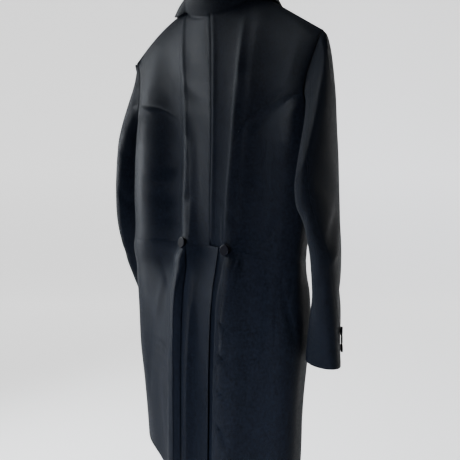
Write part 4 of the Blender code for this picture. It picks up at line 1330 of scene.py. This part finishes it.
def collar_row(side, along):
    """Points of the collar across its width, from its sewn edge over the fold to its falling edge."""
    rows = COLLAR_BACK if along <= 1.0 else COLLAR_FRONT
    row = {name: read(rows, COLLAR_COLUMNS, name, along) for name in COLLAR_COLUMNS[1:]}
    seam_across, fall_across = row["seam_across"], row["fall_across"]
    if along > 1.0:
        seam_across = from_front(seam_across, row["seam_height"])
        fall_across = from_front(fall_across, row["fall_height"])
    sewn, _ = coat(side, seam_across, row["seam_height"])
    fall, fall_direction = coat(side, fall_across, row["fall_height"], COLLAR_LAY)
    share = 1.0 if along <= 1.0 else FRONT_TURN
    away = Vector((sewn.x, (sewn.y + NECK_MIDDLE) * share, 0.0)).normalized()
    up = Vector((0.0, 0.0, 1.0))
    stand = row["stand"]
    foot = sewn + up * COLLAR_FOOT - away * COLLAR_FOOT
    inside = foot + up * stand * INSIDE_BEND - away * COLLAR_PUFF
    fold_in = foot + up * stand * INNER_FOLD
    fold_top = foot + up * (stand + COLLAR_TOP) + away * row["gap"] * FOLD_MIDDLE
    fold_out = foot + up * stand * OUTER_FOLD + away * row["gap"]
    middle = fold_out.lerp(fall, 0.5) + away * COLLAR_SWELL + fall_direction * COLLAR_PUFF
    corners = [foot, inside, fold_in, fold_top, fold_out, middle, fall]
    names = ("step", "x", "y", "z")
    table = [(float(k), *p) for k, p in enumerate(corners)]
    steps = finer(range(len(corners)), COLLAR_FINE)
    return [Vector([read(table, names, name, k) for name in names[1:]]) for k in steps]


print("Points across the collar:", len(collar_row(LEFT, 0.0)))

# %% Collar
# Rows from the centre back to each end.
COLLAR_ROWS = 37


def make_collar():
    """The turned-down collar, one band round the neck from one gorge to the other."""
    lines = [collar_row(RIGHT, along) for along in spread(COLLAR_ROWS, 2.0, 0.0)]
    lines += [collar_row(LEFT, along) for along in spread(COLLAR_ROWS, 0.0, 2.0)[1:]]
    rows = []
    for i, line in enumerate(lines):
        before, after = lines[max(i - 1, 0)], lines[min(i + 1, len(lines) - 1)]
        row = []
        for j, point in enumerate(line):
            run = after[j] - before[j]
            rise = line[min(j + 1, len(line) - 1)] - line[max(j - 1, 0)]
            row.append((point, rise.cross(run).normalized()))
        rows.append(row)
    return cloth_piece("collar", rows, {})


cloth_pieces.append(make_collar())

# %% [markdown]
# ## Shader helper
# Shader maths is easier to read as arithmetic than as a web of links. This small class wraps a socket, so
# that plus, minus and times make Math nodes, and one method makes any other node.

# %% Shader helper
class Signal:
    """A shader socket that plus, minus and times turn into Math nodes, on either side of the sign."""

    def __init__(self, tree, socket):
        self.tree, self.socket = tree, socket

    def node(self, kind, settings=None, inputs=None, output=0):
        """Another node of this tree, with its settings and its socket values or links."""
        made = self.tree.nodes.new(kind)
        for name, value in (settings or {}).items():
            setattr(made, name, value)
        for name, value in (inputs or {}).items():
            if isinstance(value, Signal):
                self.tree.links.new(value.socket, made.inputs[name])
            else:
                made.inputs[name].default_value = value
        return Signal(self.tree, made.outputs[output])

    def maths(self, operation, first, second=0.0):
        return self.node("ShaderNodeMath", {"operation": operation}, {0: first, 1: second})

    def __add__(self, other):
        return self.maths("ADD", self, other)

    def __radd__(self, other):
        return self.maths("ADD", other, self)

    def __sub__(self, other):
        return self.maths("SUBTRACT", self, other)

    def __rsub__(self, other):
        return self.maths("SUBTRACT", other, self)

    def __mul__(self, other):
        return self.maths("MULTIPLY", self, other)

    def __rmul__(self, other):
        return self.maths("MULTIPLY", other, self)


print("Shader helper ready")

# %% [markdown]
# ## Wool
# The coat is a fine black worsted with a slightly worn face. Three things carry that look: a nearly black
# base that varies from spot to spot, a weak gloss that the nap breaks up, and a twill whose diagonal ribs
# are under a millimetre wide. A photographed fabric would do as well, but these noises need no file. The
# twill runs in each piece's own cloth coordinates, as the grain does on a cut panel, and each slot of the
# frame gets a wool of its own.

# %% Wool values
# The wool's colour, the shares of it in dark and in light spots, and the pitch of the twill.
WOOL = (0.0034, 0.0044, 0.0064)
DARK_SHARE = 0.35
LIGHT_SHARE = 1.9
TWILL_PITCH = 0.0011

# Noise scales of the nap and of the larger clouds, the nap's contrast and the clouds' share in the colour.
NAP_SCALE = 230.0
CLOUD_SCALE = 22.0
NAP_CONTRAST = 3.0
CLOUD_SHARE = 0.35

# The lowest roughness and how much the nap adds, the relief's height and the ribs' and clouds' part in it.
ROUGH = 0.33
NAP_ROUGH = 0.36
RELIEF = 0.0010
RIB_RELIEF = 0.35
CLOUD_RELIEF = 2.0


def shade(share):
    """The wool's colour made darker or lighter."""
    return (*[channel * share for channel in WOOL], 1.0)


print("Darkest wool:", shade(DARK_SHARE)[:3], "lightest:", shade(LIGHT_SHARE)[:3])

# %% Wool material
def make_wool(name):
    """Black wool with a twill weave, an uneven nap and a very weak sheen."""
    wool = bpy.data.materials.new(name)
    wool.use_nodes = True
    tree = wool.node_tree
    shader = tree.nodes["Principled BSDF"]
    shader.inputs["Specular IOR Level"].default_value = 0.035
    shader.inputs["Sheen Weight"].default_value = 0.006
    shader.inputs["Sheen Roughness"].default_value = 0.35
    shader.inputs["Sheen Tint"].default_value = (0.70, 0.84, 1.0, 1.0)

    start = Signal(tree, shader.inputs["Base Color"])
    uv = start.node("ShaderNodeUVMap", {"uv_map": "cloth"})
    across = start.node("ShaderNodeSeparateXYZ", inputs={0: uv})
    upwards = Signal(tree, across.socket.node.outputs[1])
    rib = start.maths("SINE", (across + upwards) * (math.tau / TWILL_PITCH))
    where = start.node("ShaderNodeTexCoord", output=3)
    fine_noise = {"Vector": where, "Scale": NAP_SCALE, "Detail": 3.0, "Roughness": 0.6}
    nap = start.node("ShaderNodeTexNoise", inputs=fine_noise)
    large_noise = {"Vector": where, "Scale": CLOUD_SCALE, "Detail": 4.0, "Roughness": 0.55}
    cloud = start.node("ShaderNodeTexNoise", inputs=large_noise)

    speckle = (nap - 0.5) * NAP_CONTRAST + 0.5
    spots = cloud * CLOUD_SHARE + speckle * (1.0 - CLOUD_SHARE)
    tones = {0: spots, 6: shade(DARK_SHARE), 7: shade(LIGHT_SHARE)}
    tone = start.node("ShaderNodeMix", {"data_type": "RGBA"}, tones, output=2)
    tree.links.new(tone.socket, shader.inputs["Base Color"])
    rough = nap * NAP_ROUGH + ROUGH
    tree.links.new(rough.socket, shader.inputs["Roughness"])
    height = rib * RIB_RELIEF + nap + cloud * CLOUD_RELIEF
    bump = start.node("ShaderNodeBump", inputs={"Strength": 0.8, "Distance": RELIEF, "Height": height})
    tree.links.new(bump.socket, shader.inputs["Normal"])
    return wool


for piece in cloth_pieces:
    slot_name = next(
        s["material_slot"] for s in frame["record"]["subparts"] if s["node"] == piece["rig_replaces"][0]
    )
    known = bpy.data.materials.get("wool_" + slot_name)
    piece.data.materials.append(known or make_wool("wool_" + slot_name))
print("Wool on", len(cloth_pieces), "pieces")

# %% [markdown]
# ## Buttons
# The back, cuff and front buttons are plain black discs of polished horn or plastic. They could be built
# again with holes and thread, but neither shows in the photograph. The frame's own discs have softened
# rims, so they stay and only get their finish: dark, smooth and a little uneven.

# %% Buttons
BUTTON_BLACK = (0.002, 0.002, 0.003, 1.0)


def make_button_finish():
    """Black horn with a soft polish."""
    finish = bpy.data.materials.new("button_finish")
    finish.use_nodes = True
    tree = finish.node_tree
    shader = tree.nodes["Principled BSDF"]
    shader.inputs["Base Color"].default_value = BUTTON_BLACK
    shader.inputs["Specular IOR Level"].default_value = 0.03
    start = Signal(tree, shader.inputs["Roughness"])
    where = start.node("ShaderNodeTexCoord", output=3)
    cloud = start.node("ShaderNodeTexNoise", inputs={"Vector": where, "Scale": 180.0, "Detail": 2.0})
    rough = cloud * 0.15 + 0.32
    tree.links.new(rough.socket, shader.inputs["Roughness"])
    return finish


button_finish = make_button_finish()
buttons = [o for name, o in sorted(frame["nodes"].items()) if "button" in name]
for button in buttons:
    button.data.materials.clear()
    button.data.materials.append(button_finish)
print("Buttons finished:", len(buttons))

# %% [markdown]
# ## Floor and backdrop
# The object is seen against plain white, for which studios hang a sheet of seamless paper. Two flat
# planes would show the corner between them, so one line is spun round a soft curve and widened. The paper
# glows a little, as if lit from behind, so that it is white without more light on the black cloth.

# %% Stage
# Height of the floor, distance of the wall behind the coat, radius of the curve between them, length of the
# floor, height of the wall and half width of the paper.
FLOOR = -1.45
BEYOND = 3.2
SWEEP = 1.0
FLOOR_LENGTH = 4.0
WALL_HEIGHT = 4.0
PAPER_HALF = 6.0
VIEW = Vector((0.6755, -0.7244, -0.137))


def make_stage():
    """Floor and wall as one sweep: a line is spun round a quarter turn, drawn up and widened."""
    bm = bmesh.new()
    profile = [bm.verts.new((0.0, -FLOOR_LENGTH, 0.0)), bm.verts.new((0.0, 0.0, 0.0))]
    bm.edges.new(profile)
    bmesh.ops.spin(bm, geom=[profile[1]], cent=(0.0, 0.0, SWEEP), axis=(1, 0, 0), angle=math.pi / 2, steps=16)
    top = max(bm.verts, key=lambda vert: vert.co.z)
    raised = bmesh.ops.extrude_vert_indiv(bm, verts=[top])["verts"][0]
    raised.co.z += WALL_HEIGHT
    wide = bmesh.ops.extrude_edge_only(bm, edges=bm.edges[:])["geom"]
    for item in bm.verts:
        item.co.x = -PAPER_HALF
    for item in wide:
        if isinstance(item, bmesh.types.BMVert):
            item.co.x = PAPER_HALF
    bmesh.ops.recalc_face_normals(bm, faces=bm.faces)
    mesh = bpy.data.meshes.new("stage")
    bm.to_mesh(mesh)
    bm.free()
    mesh.shade_smooth()
    stage = bpy.data.objects.new("stage", mesh)
    bpy.context.scene.collection.objects.link(stage)
    return stage


stage = make_stage()
away = Vector((VIEW.x, VIEW.y, 0.0)).normalized()
stage.rotation_euler.z = math.atan2(away.y, away.x) - math.pi / 2
stage.location = away * BEYOND + Vector((0.0, 0.0, FLOOR))
print("Stage faces:", len(stage.data.polygons))

# %% Paper
paper = bpy.data.materials.new("paper")
paper.use_nodes = True
paper_shader = paper.node_tree.nodes["Principled BSDF"]
paper_shader.inputs["Base Color"].default_value = (0.90, 0.90, 0.90, 1.0)
paper_shader.inputs["Emission Color"].default_value = (1.0, 1.0, 1.0, 1.0)
paper_shader.inputs["Emission Strength"].default_value = 0.85
paper_shader.inputs["Roughness"].default_value = 0.9
stage.data.materials.append(paper)
print("Paper on", stage.name)

# %% [markdown]
# ## Light
# Black wool shows its form only through light that grazes it. The photograph's light comes from the far
# left side, a little above the coat, so one large soft panel stands there. A weak bluish panel low behind
# the coat lifts the skirts, which are bluer than the back in the photograph. A reflector card could do
# the same.

# %% Lights
def area_light(name, place, target, size, power, colour, spread_angle):
    """A square soft light that looks at a target. The angle narrows its beam, like a grid on a softbox."""
    light = bpy.data.lights.new(name, "AREA")
    light.shape = "SQUARE"
    light.size = size
    light.energy = power
    light.color = colour
    light.spread = math.radians(spread_angle)
    lamp = bpy.data.objects.new(name, light)
    lamp.location = place
    lamp.rotation_euler = (Vector(target) - Vector(place)).to_track_quat("-Z", "Y").to_euler()
    bpy.context.scene.collection.objects.link(lamp)
    return lamp


DAYLIGHT = (0.90, 0.95, 1.0)
SKYLIGHT = (0.66, 0.74, 1.0)
key = area_light("key", (2.11, 0.62, 0.30), (0.0, 0.0, -0.40), 1.0, 66.0, DAYLIGHT, 120.0)
low = area_light("low", (-0.27, 1.97, -1.00), (0.0, 0.0, -0.85), 0.8, 13.0, SKYLIGHT, 50.0)
world = bpy.data.worlds.new("room")
world.use_nodes = True
world.node_tree.nodes["Background"].inputs["Color"].default_value = (1.0, 1.0, 1.0, 1.0)
world.node_tree.nodes["Background"].inputs["Strength"].default_value = 0.50
bpy.context.scene.world = world
print("Lights:", key.name, low.name)

# %% [markdown]
# ## Camera
# The photograph was taken from behind the coat's right side, near the height of the chest and looking
# slightly down. Its place could only be guessed from a few points. It was solved on the outline instead:
# a normal lens at about a metre gives the same foreshortening.

# %% Camera
lens = bpy.data.cameras.new("camera")
lens.lens = 43.13
lens.sensor_width = 36.0
camera = bpy.data.objects.new("camera", lens)
camera.location = (-0.743, 0.741, -0.264)
camera.rotation_euler = VIEW.to_track_quat("-Z", "Y").to_euler()
bpy.context.scene.collection.objects.link(camera)
bpy.context.scene.camera = camera
print("Camera at", [round(v, 3) for v in camera.location])
